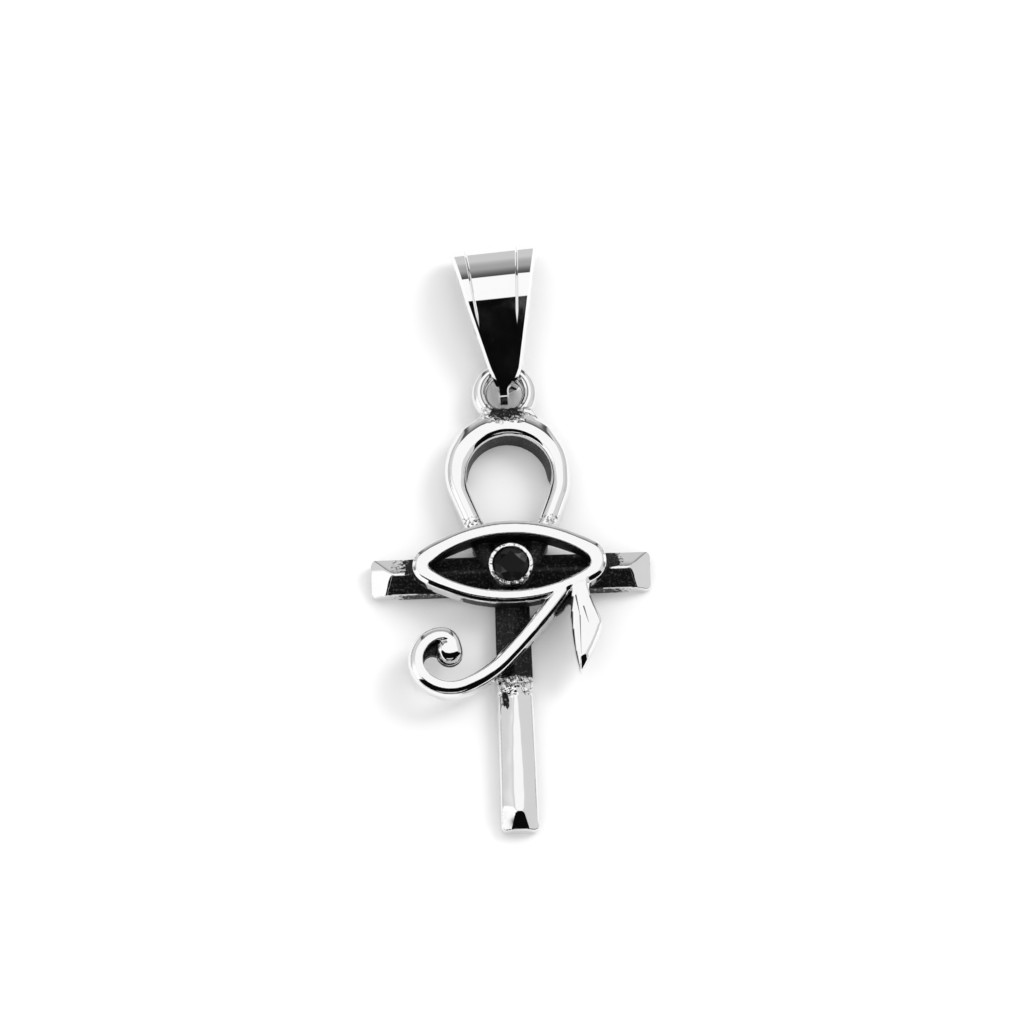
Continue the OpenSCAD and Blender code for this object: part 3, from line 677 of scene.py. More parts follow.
def buildAnkh():
    m = meshSizes
    points, faces = surfaceNet(ankhBody, *gridLines())
    print("ankh grid:", len(faces), "faces")
    points = onFloor(settle(ankhSurface, points, m["firstRounds"], m["step"] * m["firstShare"]))
    made = meshFrom("ankh_body", points * mm, faces)
    thin = thinned(made, len(faces))
    points = onFloor(settle(ankhSurface, pointsOf(thin) / mm, m["lastRounds"], m["lastReach"]))
    normals = slopeOf(ankhSurface, points)
    normals /= np.linalg.norm(normals, axis=1)[:, None]
    dark = blackeningOf(*points.T, normals)
    putPoints(thin, (points + [0, crossingY, 0]) * mm)
    thin.attributes.new("blackeningAndShade", "FLOAT", "POINT").data.foreach_set("value", dark.astype(np.float32))
    thin.polygons.foreach_set("use_smooth", np.ones(len(thin.polygons), bool))
    thin.update()
    corners = np.zeros(len(thin.loops), np.int32)
    thin.loops.foreach_get("vertex_index", corners)
    thin.normals_split_custom_set(cornerNormals(ankhSurface, points, corners.reshape(-1, 3), normals))
    print("ankh body:", len(thin.vertices), "vertices,", len(thin.polygons), "faces")
    return made


# Node helpers

def addNode(tree, kind, inputs=None, **values):
    made = tree.nodes.new(kind)
    for name, value in values.items():
        setattr(made, name, value)
    for key, value in (inputs or {}).items():
        socket = made.inputs[key]
        if isinstance(value, bpy.types.NodeSocket):
            tree.links.new(value, socket)
        else:
            socket.default_value = value
    return made


def mathNode(tree, operation, *values, clamp=False):
    return addNode(tree, "ShaderNodeMath", dict(enumerate(values)), operation=operation, use_clamp=clamp).outputs[0]


def plus(tree, a, b):
    return mathNode(tree, "ADD", a, b)


def minus(tree, a, b):
    return mathNode(tree, "SUBTRACT", a, b)


def times(tree, a, b):
    return mathNode(tree, "MULTIPLY", a, b)


def over(tree, a, b):
    return mathNode(tree, "DIVIDE", a, b)


def lesser(tree, a, b):
    return mathNode(tree, "MINIMUM", a, b)


def greater(tree, a, b):
    return mathNode(tree, "MAXIMUM", a, b)


def vectorMath(tree, operation, *values, output=0):
    return addNode(tree, "ShaderNodeVectorMath", dict(enumerate(values)), operation=operation).outputs[output]


def newGroup(name, inputs, outputs):
    tree = bpy.data.node_groups.new(name, "ShaderNodeTree")
    for label, kind, value in inputs:
        made = tree.interface.new_socket(label, in_out="INPUT", socket_type=kind)
        if value is not None:
            made.default_value = value
    for label, kind in outputs:
        tree.interface.new_socket(label, in_out="OUTPUT", socket_type=kind)
    return tree, tree.nodes.new("NodeGroupInput"), tree.nodes.new("NodeGroupOutput")


def mapRange(tree, value, low, high, toLow=0.0, toHigh=1.0):
    node = addNode(tree, "ShaderNodeMapRange", {0: value, 1: low, 2: high, 3: toLow, 4: toHigh})
    node.interpolation_type = "SMOOTHSTEP"
    return node.outputs[0]


def between(tree, value, low, lowFull, highFull, high):  # 1 in a range, fading to 0 on both sides
    return times(tree, mapRange(tree, value, low, lowFull), mapRange(tree, value, highFull, high, 1.0, 0.0))


# Fine polish lines. Columns: turn, stretch across the lines
scratchSets = [(0.35, 16000), (-0.9, 21000), (1.5, 12000)]
scratchSizes = {"along": 420, "upwards": 9000, "thin": (0.66, 0.74)}


def scratchGroup():
    tree, given, result = newGroup("fineScratches", [("Vector", "NodeSocketVector", None),
                                                     ("Density", "NodeSocketFloat", 1.0)],
                                   [("Amount", "NodeSocketFloat")])
    s, total = scratchSizes, 0.0
    for turn, stretch in scratchSets:
        place = addNode(tree, "ShaderNodeMapping", {"Vector": given.outputs["Vector"], "Rotation": (0, 0, turn),
                                                    "Scale": (stretch, s["along"], s["upwards"])})
        lines = addNode(tree, "ShaderNodeTexNoise", {"Vector": place.outputs[0], "Scale": 1.0, "Detail": 1.0})
        total = greater(tree, total, mapRange(tree, lines.outputs[0], *s["thin"]))
    tree.links.new(times(tree, total, given.outputs["Density"]), result.inputs["Amount"])
    return tree


# Noise scales and the ranges in which they show
castSizes = {"coarse": 4600.0, "fine": 9000.0, "fineShare": 0.5, "stipple": 5600.0, "stippleRange": (0.5, 0.75),
             "edge": (0.42, 0.56), "speckle": 0.8}


def blackeningGroup():  # breaks the blackened edge into specks and gives it a cast grain
    s = castSizes
    tree, given, result = newGroup("castBlackening", [("Vector", "NodeSocketVector", None),
                                                      ("Mask", "NodeSocketFloat", 0.0),
                                                      ("Speckle", "NodeSocketFloat", s["speckle"])],
                                   [("Amount", "NodeSocketFloat"), ("Grain", "NodeSocketFloat"),
                                    ("Tone", "NodeSocketFloat")])

    def noise(scale, detail, roughness=0.5):
        return addNode(tree, "ShaderNodeTexNoise", {"Vector": given.outputs["Vector"], "Scale": scale,
                                                    "Detail": detail, "Roughness": roughness}).outputs[0]

    coarse, fine, stipple = noise(s["coarse"], 3.0, 0.6), noise(s["fine"], 4.0), noise(s["stipple"], 2.0, 0.7)
    shifted = mathNode(tree, "MULTIPLY_ADD", minus(tree, coarse, 0.5), given.outputs["Speckle"],
                       given.outputs["Mask"])
    amount = mapRange(tree, shifted, *s["edge"])
    grain = mathNode(tree, "MULTIPLY_ADD", fine, s["fineShare"], coarse)
    tree.links.new(amount, result.inputs["Amount"])
    tree.links.new(times(tree, grain, amount), result.inputs["Grain"])
    tree.links.new(mapRange(tree, stipple, *s["stippleRange"]), result.inputs["Tone"])
    return tree


scratches, blackeningAndShade = scratchGroup(), blackeningGroup()


def newMaterial(name):
    made = bpy.data.materials.new(name)
    made.use_nodes = True
    tree = made.node_tree
    return made, tree, tree.nodes["Principled BSDF"]


def mixColour(tree, factor, a, b):
    node = tree.nodes.new("ShaderNodeMix")
    node.data_type = "RGBA"
    for key, value in (("Factor_Float", factor), ("A_Color", a), ("B_Color", b)):
        socket = next(s for s in node.inputs if s.identifier == key)
        if isinstance(value, bpy.types.NodeSocket):
            tree.links.new(value, socket)
        else:
            socket.default_value = value
    return next(s for s in node.outputs if s.identifier == "Result_Color")


# A painted shade line narrows towards its end, and its sides are soft
paintedLineSizes = {"taper": 1.25, "core": 0.4, "side": 1.6, "from": (2.2, 2.5)}
# Fine dark lines of painted shade along the cheek drop's creases and edges, from the eye's middle. Columns: start x,
# y, end x, y, half width
dropShadeLines = [(4.88, -2.86, 5.14, -4.49, 0.045), (5.14, -4.49, 5.12, -7.60, 0.03), (5.45, -3.77, 5.79, -5.06, 0.04),
               (5.96, -2.90, 6.65, -4.89, 0.035), (4.62, -3.00, 4.52, -4.20, 0.08), (4.52, -4.20, 4.56, -5.60, 0.08),
               (4.56, -5.60, 4.72, -7.40, 0.075), (4.72, -7.40, 4.98, -8.75, 0.06)]
# Painted dark reflection line round the hanging ring: radius, soft edge, share and the height from which it shows
ringReflectionLine = {"radius": 1.83, "edge": (0.02, 0.07), "share": 0.8, "from": (1.5, 1.7)}


def creaseGroup():  # a painted shade line between two points, in the plan
    s = paintedLineSizes
    tree, given, result = newGroup("paintedDarkLine", [("Vector", "NodeSocketVector", None),
                                                  ("Start", "NodeSocketVector", None),
                                                  ("End", "NodeSocketVector", None),
                                                  ("Half", "NodeSocketFloat", 0.0)],
                                   [("Amount", "NodeSocketFloat")])
    flat = vectorMath(tree, "MULTIPLY", given.outputs["Vector"], (1, 1, 0))
    way = vectorMath(tree, "SUBTRACT", given.outputs["End"], given.outputs["Start"])
    away = vectorMath(tree, "SUBTRACT", flat, given.outputs["Start"])
    share = mathNode(tree, "DIVIDE", vectorMath(tree, "DOT_PRODUCT", away, way, output=1),
                     vectorMath(tree, "DOT_PRODUCT", way, way, output=1), clamp=True)
    step = addNode(tree, "ShaderNodeVectorMath", {0: way, "Scale": share}, operation="SCALE").outputs[0]
    distance = vectorMath(tree, "LENGTH", vectorMath(tree, "SUBTRACT", away, step), output=1)
    half = times(tree, given.outputs["Half"], minus(tree, s["taper"], share))
    amount = mapRange(tree, distance, times(tree, half, s["core"]), times(tree, half, s["side"]), 1.0, 0.0)
    tree.links.new(amount, result.inputs["Amount"])
    return tree


paintedLine = creaseGroup()


def creaseMask(tree, place):  # painted shade lines on the drop and the painted dark reflection line round the hanging ring
    total, shift = 0.0, eyeSizes["y"] + crossingY
    for ax, ay, bx, by, half in dropShadeLines:
        line = addNode(tree, "ShaderNodeGroup", {"Vector": place, "Start": (ax * mm, (ay + shift) * mm, 0),
                                                 "End": (bx * mm, (by + shift) * mm, 0), "Half": half * mm},
                       node_tree=paintedLine)
        total = greater(tree, total, line.outputs["Amount"])
    z = addNode(tree, "ShaderNodeSeparateXYZ", {0: place}).outputs[2]
    total = times(tree, total, mapRange(tree, z, *[c * mm for c in paintedLineSizes["from"]]))
    # the circle round the ring is a painted dark reflection
    middle = vectorMath(tree, "SUBTRACT", place, (0, (ringSizes["y"] + crossingY) * mm, 0))
    reach = vectorMath(tree, "LENGTH", vectorMath(tree, "MULTIPLY", middle, (1, 1, 0)), output=1)
    away = mathNode(tree, "ABSOLUTE", minus(tree, reach, ringReflectionLine["radius"] * mm))
    circle = mapRange(tree, away, *[c * mm for c in ringReflectionLine["edge"]], ringReflectionLine["share"], 0.0)
    circle = times(tree, circle, mapRange(tree, z, *[c * mm for c in ringReflectionLine["from"]]))
    return greater(tree, total, circle)


# Colours, roughness and noise of the finishes
finishes = {
    "body": {"tint": (0.88, 0.88, 0.885, 1), "rough": 0.05, "lines": 0.06},
    "bail": {"tint": (0.9, 0.9, 0.905, 1), "rough": 0.02, "lines": 0.02},
    "smearScale": 700.0, "smearRange": (0.35, 0.75), "smearRough": (0.6, 1.7), "smearTone": 0.96,
    "sootAndShade": (0.006, 0.006, 0.007, 1), "sootAndShadeStipple": (0.09, 0.09, 0.094, 1), "sootRough": 0.36, "sootMetal": 0.6,
    "paintedLineTone": (0.03, 0.03, 0.032, 1), "grainStrength": 0.5, "grainDepth": 0.04,
    # The stone's lit colour is a painted glint on some of its facets
    "stoneDark": (0.0015, 0.0015, 0.0018, 1), "stoneGlintPaint": (0.13, 0.13, 0.135, 1), "stoneNoise": 1500.0,
    "stoneRange": (0.3, 0.7), "stoneGlintFlicker": (0.6, 1.2), "stoneRough": (0.015, 0.04), "stoneShine": 0.12,
    "paper": (0.93, 0.93, 0.93, 1), "paperLight": (0.95, 0.95, 0.95, 1), "paperNoise": 30.0, "paperRough": 0.9,
    "paperShine": 0.1,
}


def steelMaterial(name, look, blackened):
    f = finishes
    made, tree, shader = newMaterial(name)
    place = addNode(tree, "ShaderNodeTexCoord").outputs["Object"]
    lines = addNode(tree, "ShaderNodeGroup", {"Vector": place}, node_tree=scratches)
    smear = addNode(tree, "ShaderNodeTexNoise", {"Vector": place, "Scale": f["smearScale"], "Detail": 3.0}).outputs[0]
    cloudy = mapRange(tree, smear, *f["smearRange"], *[look["rough"] * c for c in f["smearRough"]])
    polished = mathNode(tree, "MULTIPLY_ADD", lines.outputs["Amount"], look["lines"], cloudy)
    dim = tuple(c * f["smearTone"] for c in look["tint"][:3]) + (1,)
    colour = mixColour(tree, smear, look["tint"], dim)
    if blackened:
        mask = addNode(tree, "ShaderNodeAttribute", attribute_name="blackeningAndShade").outputs["Fac"]
        black = addNode(tree, "ShaderNodeGroup", {"Vector": place, "Mask": mask}, node_tree=blackeningAndShade)
        amount = black.outputs["Amount"]
        sootAndShade = mixColour(tree, black.outputs["Tone"], f["sootAndShade"], f["sootAndShadeStipple"])
        # Painted shade: dark lines painted into the colour along the drop's creases and round the hanging ring
        colour = mixColour(tree, creaseMask(tree, place), colour, f["paintedLineTone"])
        # the black colour is the blackening, and in the notch by the drop it is painted shade
        colour = mixColour(tree, amount, colour, sootAndShade)
        polished = mathNode(tree, "MULTIPLY_ADD", amount, f["sootRough"], polished)
        tree.links.new(mapRange(tree, amount, 0.0, 1.0, 1.0, f["sootMetal"]), shader.inputs["Metallic"])
        bump = addNode(tree, "ShaderNodeBump", {"Height": black.outputs["Grain"], "Strength": f["grainStrength"],
                                                "Distance": f["grainDepth"] * mm})
        tree.links.new(bump.outputs[0], shader.inputs["Normal"])
    else:
        shader.inputs["Metallic"].default_value = 1.0
    tree.links.new(colour, shader.inputs["Base Color"])
    tree.links.new(polished, shader.inputs["Roughness"])
    return made


def stoneMaterial():
    f = finishes
    made, tree, shader = newMaterial("blackStone")
    place = addNode(tree, "ShaderNodeTexCoord").outputs["Object"]
    depth = addNode(tree, "ShaderNodeTexNoise", {"Vector": place, "Scale": f["stoneNoise"], "Detail": 2.0}).outputs[0]
    # Painted light: some facets are painted lighter as glints, and the rest get a faint painted sheen at random
    glintShare = addNode(tree, "ShaderNodeAttribute", attribute_name="paintedFacetGlint").outputs["Fac"]
    paintedGlint = times(tree, glintShare, mapRange(tree, depth, *f["stoneRange"], *f["stoneGlintFlicker"]))
    tree.links.new(mixColour(tree, paintedGlint, f["stoneDark"], f["stoneGlintPaint"]), shader.inputs["Base Color"])
    tree.links.new(mapRange(tree, depth, *f["stoneRange"], *f["stoneRough"]), shader.inputs["Roughness"])
    shader.inputs["Specular IOR Level"].default_value = f["stoneShine"]
    return made


def floorMaterial():
    f = finishes
    made, tree, shader = newMaterial("paleFloor")
    place = addNode(tree, "ShaderNodeTexCoord").outputs["Object"]
    paper = addNode(tree, "ShaderNodeTexNoise", {"Vector": place, "Scale": f["paperNoise"], "Detail": 4.0})
    tree.links.new(mixColour(tree, paper.outputs[0], f["paper"], f["paperLight"]), shader.inputs["Base Color"])
    shader.inputs["Roughness"].default_value = f["paperRough"]
    shader.inputs["Specular IOR Level"].default_value = f["paperShine"]
    return made


# Geometry Nodes helpers

def newNodeTree(name, sizes):  # a tree with a named input for each size and for the material
    tree = bpy.data.node_groups.new(name, "GeometryNodeTree")
    face = tree.interface
    face.new_socket("Geometry", in_out="INPUT", socket_type="NodeSocketGeometry")
    for label, kind in sizes:
        face.new_socket(label, in_out="INPUT", socket_type=kind)
    face.new_socket("material", in_out="INPUT", socket_type="NodeSocketMaterial")
    face.new_socket("Geometry", in_out="OUTPUT", socket_type="NodeSocketGeometry")
    return tree, tree.nodes.new("NodeGroupInput"), tree.nodes.new("NodeGroupOutput")


def paintEnd(tree, shape, given, result):  # real geometry, painted
    painted = addNode(tree, "GeometryNodeSetMaterial", {"Geometry": shape, "Material": given.outputs["material"]})
    tree.links.new(painted.outputs[0], result.inputs[0])


def runTree(holder, tree, name, values):  # gives each named input its value, and turns the result into a plain mesh
    work = holder.modifiers.new("shape", "NODES")
    work.node_group = tree
    for item in tree.interface.items_tree:
        if item.in_out == "INPUT" and item.name in values:
            work[item.identifier] = values[item.name]
    bpy.context.view_layer.update()
    mesh = bpy.data.meshes.new_from_object(holder.evaluated_get(bpy.context.evaluated_depsgraph_get()))
    made = bpy.data.objects.new(name, mesh)
    scene.collection.objects.link(made)
    holder.modifiers.clear()
    bpy.data.objects.remove(holder)
    return made


def putPoints(mesh, points):
    mesh.vertices.foreach_set("co", points.astype(np.float32).ravel())
    mesh.update()


# Bail: a strip that follows a folded path, swept by Geometry Nodes

bailSizes = {
    "sheet": 0.55, "legLean": 12.0, "crownReach": 5.2, "tipRadius": 1.14, "tipReach": 1.7, "turn": 2.9,
    "wireY": 16.75, "skew": 0.033, "skewRange": (-1.0, 7.0), "straightStep": 0.14, "turnStep": 3.0,
    "bevelLeft": 0.21, "bevelRight": 0.24, "bevelDrop": 0.33, "bevelLimit": 0.15, "innerRound": 0.08,
    "grooveWidth": 0.22, "grooveDepth": 0.09, "grooveFoot": (3.0, 4.2), "grooveTop": (10.3, 10.0),
    "lineRoom": 1.15, "lineShare": 0.36, "rightRoom": 1.3, "rightShare": 0.38, "weld": 0.001,
}
# Half widths of the front leg and tongue. Columns: distance from the ring's wire, left x, right x
bailFront = [(10.60, -3.58, 3.68), (4.84, -2.45, 2.49), (3.77, -2.18, 2.27), (0.09, -1.26, 1.49),
             (-0.30, -1.14, 1.40), (-0.60, -1.02, 1.27), (-0.95, -0.91, 1.10), (-1.25, -0.80, 0.87),
             (-1.50, -0.71, 0.58), (-1.70, -0.64, 0.34), (-1.85, -0.60, 0.24), (-3.20, -0.56, 0.22)]
# The back leg tapers to a rounded tab on the right
bailBack = [(10.60, -3.58, 3.68), (9.60, -3.05, 3.10), (3.45, -1.84, 1.92), (-0.30, -0.60, 1.40),
            (-0.62, -0.56, 1.35), (-1.00, -0.56, 1.27), (-1.25, -0.56, 1.14), (-1.42, -0.56, 0.96),
            (-1.54, -0.56, 0.73), (-1.60, -0.56, 0.22), (-3.20, -0.56, 0.22)]
# Engraved lines. Columns: distance from the ring's wire, left line x, right line x
bailLines = [(10.60, -2.27, 1.93), (6.20, -1.96, 1.58), (3.00, -1.62, 1.33)]


def tableAt(rows, column, y):
    ordered = sorted(rows)
    return np.interp(y, [r[0] for r in ordered], [r[column] for r in ordered])


# Curve of the front from its flat leg over the top. Columns: radius, outward angle at the end
bailCrown = [(5.0, 10.0), (5.7, 40.0)]


def bailPath():  # centre line of the folded strip, from the tip up the back, round the bend and down the front
    s = bailSizes
    inset = s["sheet"] / 2
    lean = -math.radians(s["legLean"])
    rows = []

    def arc(cy, cz, radius, first, last):  # angles from straight up, positive towards the top end
        count = max(2, round(abs(last - first) / math.radians(s["turnStep"])))
        for k in range(count):
            a = first + (last - first) * k / count
            rows.append((cy + radius * math.sin(a), cz + radius * math.cos(a), math.sin(a), math.cos(a)))

    def leg(start, end, outY, outZ):
        count = max(2, round(math.dist(start, end) / s["straightStep"]))
        for k in range(count):
            t = k / count
            rows.append((start[0] + (end[0] - start[0]) * t, start[1] + (end[1] - start[1]) * t, outY, outZ))

    small = s["tipRadius"] - inset
    tip = (-s["tipReach"], s["tipRadius"])
    tipTop = (tip[0] + s["tipRadius"] * math.sin(lean), tip[1] + s["tipRadius"] * math.cos(lean))
    y, z, angle = s["crownReach"], tipTop[1] - (s["crownReach"] - tipTop[0]) * math.tan(lean), lean
    arcs = []  # outer surface, from the flat leg to the bottom
    for radius, last in bailCrown + [(None, 180.0)]:
        last = math.radians(last)
        radius = radius or z / (1 + math.cos(angle))
        cy, cz = y - radius * math.sin(angle), z - radius * math.cos(angle)
        arcs.append((cy, cz, radius - inset, angle, last))
        y, z, angle = cy + radius * math.sin(last), cz + radius * math.cos(last), last
    leg((tip[0], inset), (y, inset), 0, -1)
    for cy, cz, radius, first, last in reversed(arcs):
        arc(cy, cz, radius, last, first)
    cy, cz, radius, first, _ = arcs[0]
    leg((cy + radius * math.sin(first), cz + radius * math.cos(first)),
        (tip[0] + small * math.sin(lean), tip[1] + small * math.cos(lean)), math.sin(lean), math.cos(lean))
    arc(*tip, small, lean, -math.pi)
    noseY, noseZ = arcs[-1][:2]
    return np.array(rows), (noseZ - tip[1]) / (noseY - tip[0])


def bailPathObject():
    s = bailSizes
    rows, slope = bailPath()
    y, z = rows[:, 0], rows[:, 1]
    front = z > s["tipRadius"] + (y + s["tipReach"]) * slope
    left = np.where(front, tableAt(bailFront, 1, y), tableAt(bailBack, 1, y))
    right = np.where(front, tableAt(bailFront, 2, y), tableAt(bailBack, 2, y))
    depth = np.where(front, easeStep(*s["grooveFoot"], y), 0) * easeStep(*s["grooveTop"], y)
    mesh = bpy.data.meshes.new("bailPath")
    mesh.from_pydata([(0, a * mm, b * mm) for a, b in zip(y, z)], [], [])
    outward = np.stack([np.zeros(len(y)), rows[:, 2], rows[:, 3]], 1).astype(np.float32)
    mesh.attributes.new("outward", "FLOAT_VECTOR", "POINT").data.foreach_set("vector", outward.ravel())
    for name, values in (("left", left * mm), ("right", right * mm), ("lineLeft", tableAt(bailLines, 1, y) * mm),
                         ("lineRight", tableAt(bailLines, 2, y) * mm), ("lineDepth", depth)):
        mesh.attributes.new(name, "FLOAT", "POINT").data.foreach_set("value", values.astype(np.float32))
    made = bpy.data.objects.new("bailPath", mesh)
    scene.collection.objects.link(made)
    return made


# Corners of the strip's section, round the outside from the left. Columns: which edge or line it keeps to,
# sideways step as a name and a share, side of the sheet, and a further step in height as a name and a share
bailSection = [
    ("left", None, 0, -0.5, "innerRound", 1), ("left", None, 0, 0.5, "bevelDrop", -1),
    ("left", "bevelLeft", 1, 0.5, None, 0),
    ("lineLeft", "grooveWidth", -0.5, 0.5, None, 0), ("lineLeft", None, 0, 0.5, "grooveDepth", -1),
    ("lineLeft", "grooveWidth", 0.5, 0.5, None, 0),
    ("lineRight", "grooveWidth", -0.5, 0.5, None, 0), ("lineRight", None, 0, 0.5, "grooveDepth", -1),
    ("lineRight", "grooveWidth", 0.5, 0.5, None, 0),
    ("right", "bevelRight", -1, 0.5, None, 0), ("right", None, 0, 0.5, "bevelDrop", -1),
    ("right", None, 0, -0.5, "innerRound", 1), ("right", "innerRound", -1, -0.5, None, 0),
    ("left", "innerRound", 1, -0.5, None, 0),
]
# Sizes that the node tree takes as named inputs, in millimetres here and in metres there
bailInputs = ["sheet", "bevelLeft", "bevelRight", "bevelDrop", "innerRound", "grooveWidth", "grooveDepth"]


def buildBail(material):
    s = bailSizes
    tree, given, result = newNodeTree("foldedBail", [(name, "NodeSocketFloat") for name in bailInputs])
    stations = addNode(tree, "GeometryNodeAttributeDomainSize", {"Geometry": given.outputs["Geometry"]})
    stations = stations.outputs["Point Count"]
    corners = len(bailSection)
    rowsPlus = plus(tree, stations, 1.0)
    grid = addNode(tree, "GeometryNodeMeshGrid", {"Size X": 1.0, "Size Y": 1.0, "Vertices X": corners + 1,
                                                  "Vertices Y": rowsPlus})
    index = addNode(tree, "GeometryNodeInputIndex").outputs[0]
    corner = mathNode(tree, "FLOOR", over(tree, plus(tree, index, 0.25), rowsPlus))
    row = minus(tree, index, times(tree, corner, rowsPlus))
    row = mathNode(tree, "MODULO", plus(tree, row, 0.25), stations)  # the last row is the first again
    corner = mathNode(tree, "MODULO", corner, float(corners))

    def atRow(name, kind="FLOAT"):
        if name == "position":
            value = addNode(tree, "GeometryNodeInputPosition").outputs[0]
        else:
            node = addNode(tree, "GeometryNodeInputNamedAttribute", {"Name": name}, data_type=kind)
            value = node.outputs["Attribute"]
        sample = addNode(tree, "GeometryNodeSampleIndex", data_type=kind, domain="POINT", clamp=True)
        tree.links.new(given.outputs["Geometry"], sample.inputs["Geometry"])
        tree.links.new(value, sample.inputs["Value"])
        tree.links.new(mathNode(tree, "FLOOR", row), sample.inputs["Index"])
        return sample.outputs["Value"]

    edges = {name: atRow(name) for name in ("left", "right", "lineLeft", "lineRight")}
    lineDepth = atRow("lineDepth")
    width = minus(tree, edges["right"], edges["left"])
    sizes = {name: given.outputs[name] for name in bailInputs}
    for name in ("bevelLeft", "bevelRight"):
        sizes[name] = lesser(tree, sizes[name], times(tree, width, s["bevelLimit"]))
    for name in ("grooveWidth", "grooveDepth"):
        sizes[name] = times(tree, sizes[name], lineDepth)
    room = times(tree, given.outputs["bevelLeft"], s["lineRoom"])  # the lines keep off the bevels
    low = plus(tree, edges["left"], lesser(tree, room, times(tree, width, s["lineShare"])))
    high = minus(tree, edges["right"], lesser(tree, times(tree, room, s["rightRoom"]),
                                              times(tree, width, s["rightShare"])))
    across = addNode(tree, "GeometryNodeIndexSwitch", data_type="FLOAT")
    height = addNode(tree, "GeometryNodeIndexSwitch", data_type="FLOAT")
    for switch in (across, height):
        while len(switch.index_switch_items) < corners:
            switch.index_switch_items.new()
        tree.links.new(corner, switch.inputs["Index"])
    for i, (edge, stepName, stepShare, level, dropName, dropShare) in enumerate(bailSection):
        x = edges[edge]
        if stepName:
            x = mathNode(tree, "MULTIPLY_ADD", sizes[stepName], float(stepShare), x)
        if edge.startswith("line"):
            x = lesser(tree, greater(tree, x, low), high)
        h = times(tree, sizes["sheet"], level)
        if dropName:
            h = mathNode(tree, "MULTIPLY_ADD", sizes[dropName], float(dropShare), h)
        tree.links.new(x, across.inputs[str(i)])
        tree.links.new(h, height.inputs[str(i)])
    out = addNode(tree, "ShaderNodeVectorMath", {0: atRow("outward", "FLOAT_VECTOR"), "Scale": height.outputs[0]},
                  operation="SCALE").outputs[0]
    side = addNode(tree, "ShaderNodeCombineXYZ", {"X": across.outputs[0]}).outputs[0]
    flat = vectorMath(tree, "ADD", atRow("position", "FLOAT_VECTOR"), out)
    moved = addNode(tree, "GeometryNodeSetPosition", {"Geometry": grid.outputs["Mesh"],
                                                      "Position": vectorMath(tree, "ADD", flat, side)})
    ends = addNode(tree, "GeometryNodeInputMeshEdgeVertices").outputs
    jump = mathNode(tree, "ABSOLUTE", minus(tree, ends[0], ends[1]))
    faces = addNode(tree, "GeometryNodeSetShadeSmooth", {"Geometry": moved.outputs[0], "Shade Smooth": True},
                    domain="FACE")
    edgesSet = addNode(tree, "GeometryNodeSetShadeSmooth",
                       {"Geometry": faces.outputs[0], "Shade Smooth": mathNode(tree, "GREATER_THAN", jump, 1.5)},
                       domain="EDGE")  # smooth along the fold, crisp across it
    welded = addNode(tree, "GeometryNodeMergeByDistance", {"Geometry": edgesSet.outputs[0],
                                                           "Distance": s["weld"] * mm})
    whole = addNode(tree, "GeometryNodeRealizeInstances", {"Geometry": welded.outputs[0]})
    paintEnd(tree, whole.outputs[0], given, result)
    values = {name: s[name] * mm for name in bailInputs}
    made = runTree(bailPathObject(), tree, "bail_strip", {**values, "material": material})
    turn = math.radians(s["turn"])
    points = pointsOf(made.data)
    x, y = points[:, 0].copy(), points[:, 1].copy()
    y += s["skew"] * x * easeStep(*[c * mm for c in s["skewRange"]], y)  # folded a little askew
    points[:, 0] = x * math.cos(turn) - y * math.sin(turn)
    points[:, 1] = x * math.sin(turn) + y * math.cos(turn) + (s["wireY"] + crossingY) * mm
    putPoints(made.data, points)
    return made


# Stone: one wedge of a round brilliant, repeated by Geometry Nodes

stoneSizes = {"radius": 1.38, "girdleLow": 2.74, "girdleHigh": 2.82, "table": 3.17, "tableShare": 0.56,
              "starShare": 0.80, "starZ": 3.035, "lowerShare": 0.45, "lowerZ": 2.22, "culetZ": 1.7, "facets": 8,
              "weld": 0.001}


def stoneWedge():
    s = stoneSizes
    half = math.pi / s["facets"]

    def at(share, angle, z):
        return (share * s["radius"] * math.cos(angle), share * s["radius"] * math.sin(angle), z)

    points = [
        (0, 0, s["table"]), at(s["tableShare"], -half, s["table"]), at(s["tableShare"], half, s["table"]),
        at(s["starShare"], 0, s["starZ"]), at(1, -half, s["girdleHigh"]), at(1, 0, s["girdleHigh"]),
        at(1, half, s["girdleHigh"]), at(1, -half, s["girdleLow"]), at(1, 0, s["girdleLow"]),
        at(1, half, s["girdleLow"]), at(s["lowerShare"], 0, s["lowerZ"]), (0, 0, s["culetZ"]),
        at(s["starShare"], 2 * half, s["starZ"]), at(s["lowerShare"], 2 * half, s["lowerZ"]),
    ]
    faces = [(0, 1, 2), (1, 3, 2), (2, 3, 6, 12), (3, 4, 5), (3, 5, 6), (4, 7, 8, 5), (5, 8, 9, 6),
             (7, 10, 8), (8, 10, 9), (9, 10, 11, 13)]
    mesh = bpy.data.meshes.new("stoneWedge")
    mesh.from_pydata([tuple(c * mm for c in p) for p in points], [], faces)
    made = bpy.data.objects.new("stoneWedge", mesh)
    scene.collection.objects.link(made)
    return made


# Facets painted with a glint, as if they caught the light. Columns: angle, how far the painted light reaches round,
# share
stoneGlints = [(38, 26, 1), (-140, 24, 0.7)]
stoneGlintLevels = {"table": 0.01, "rest": 0.1, "lit": 0.9}


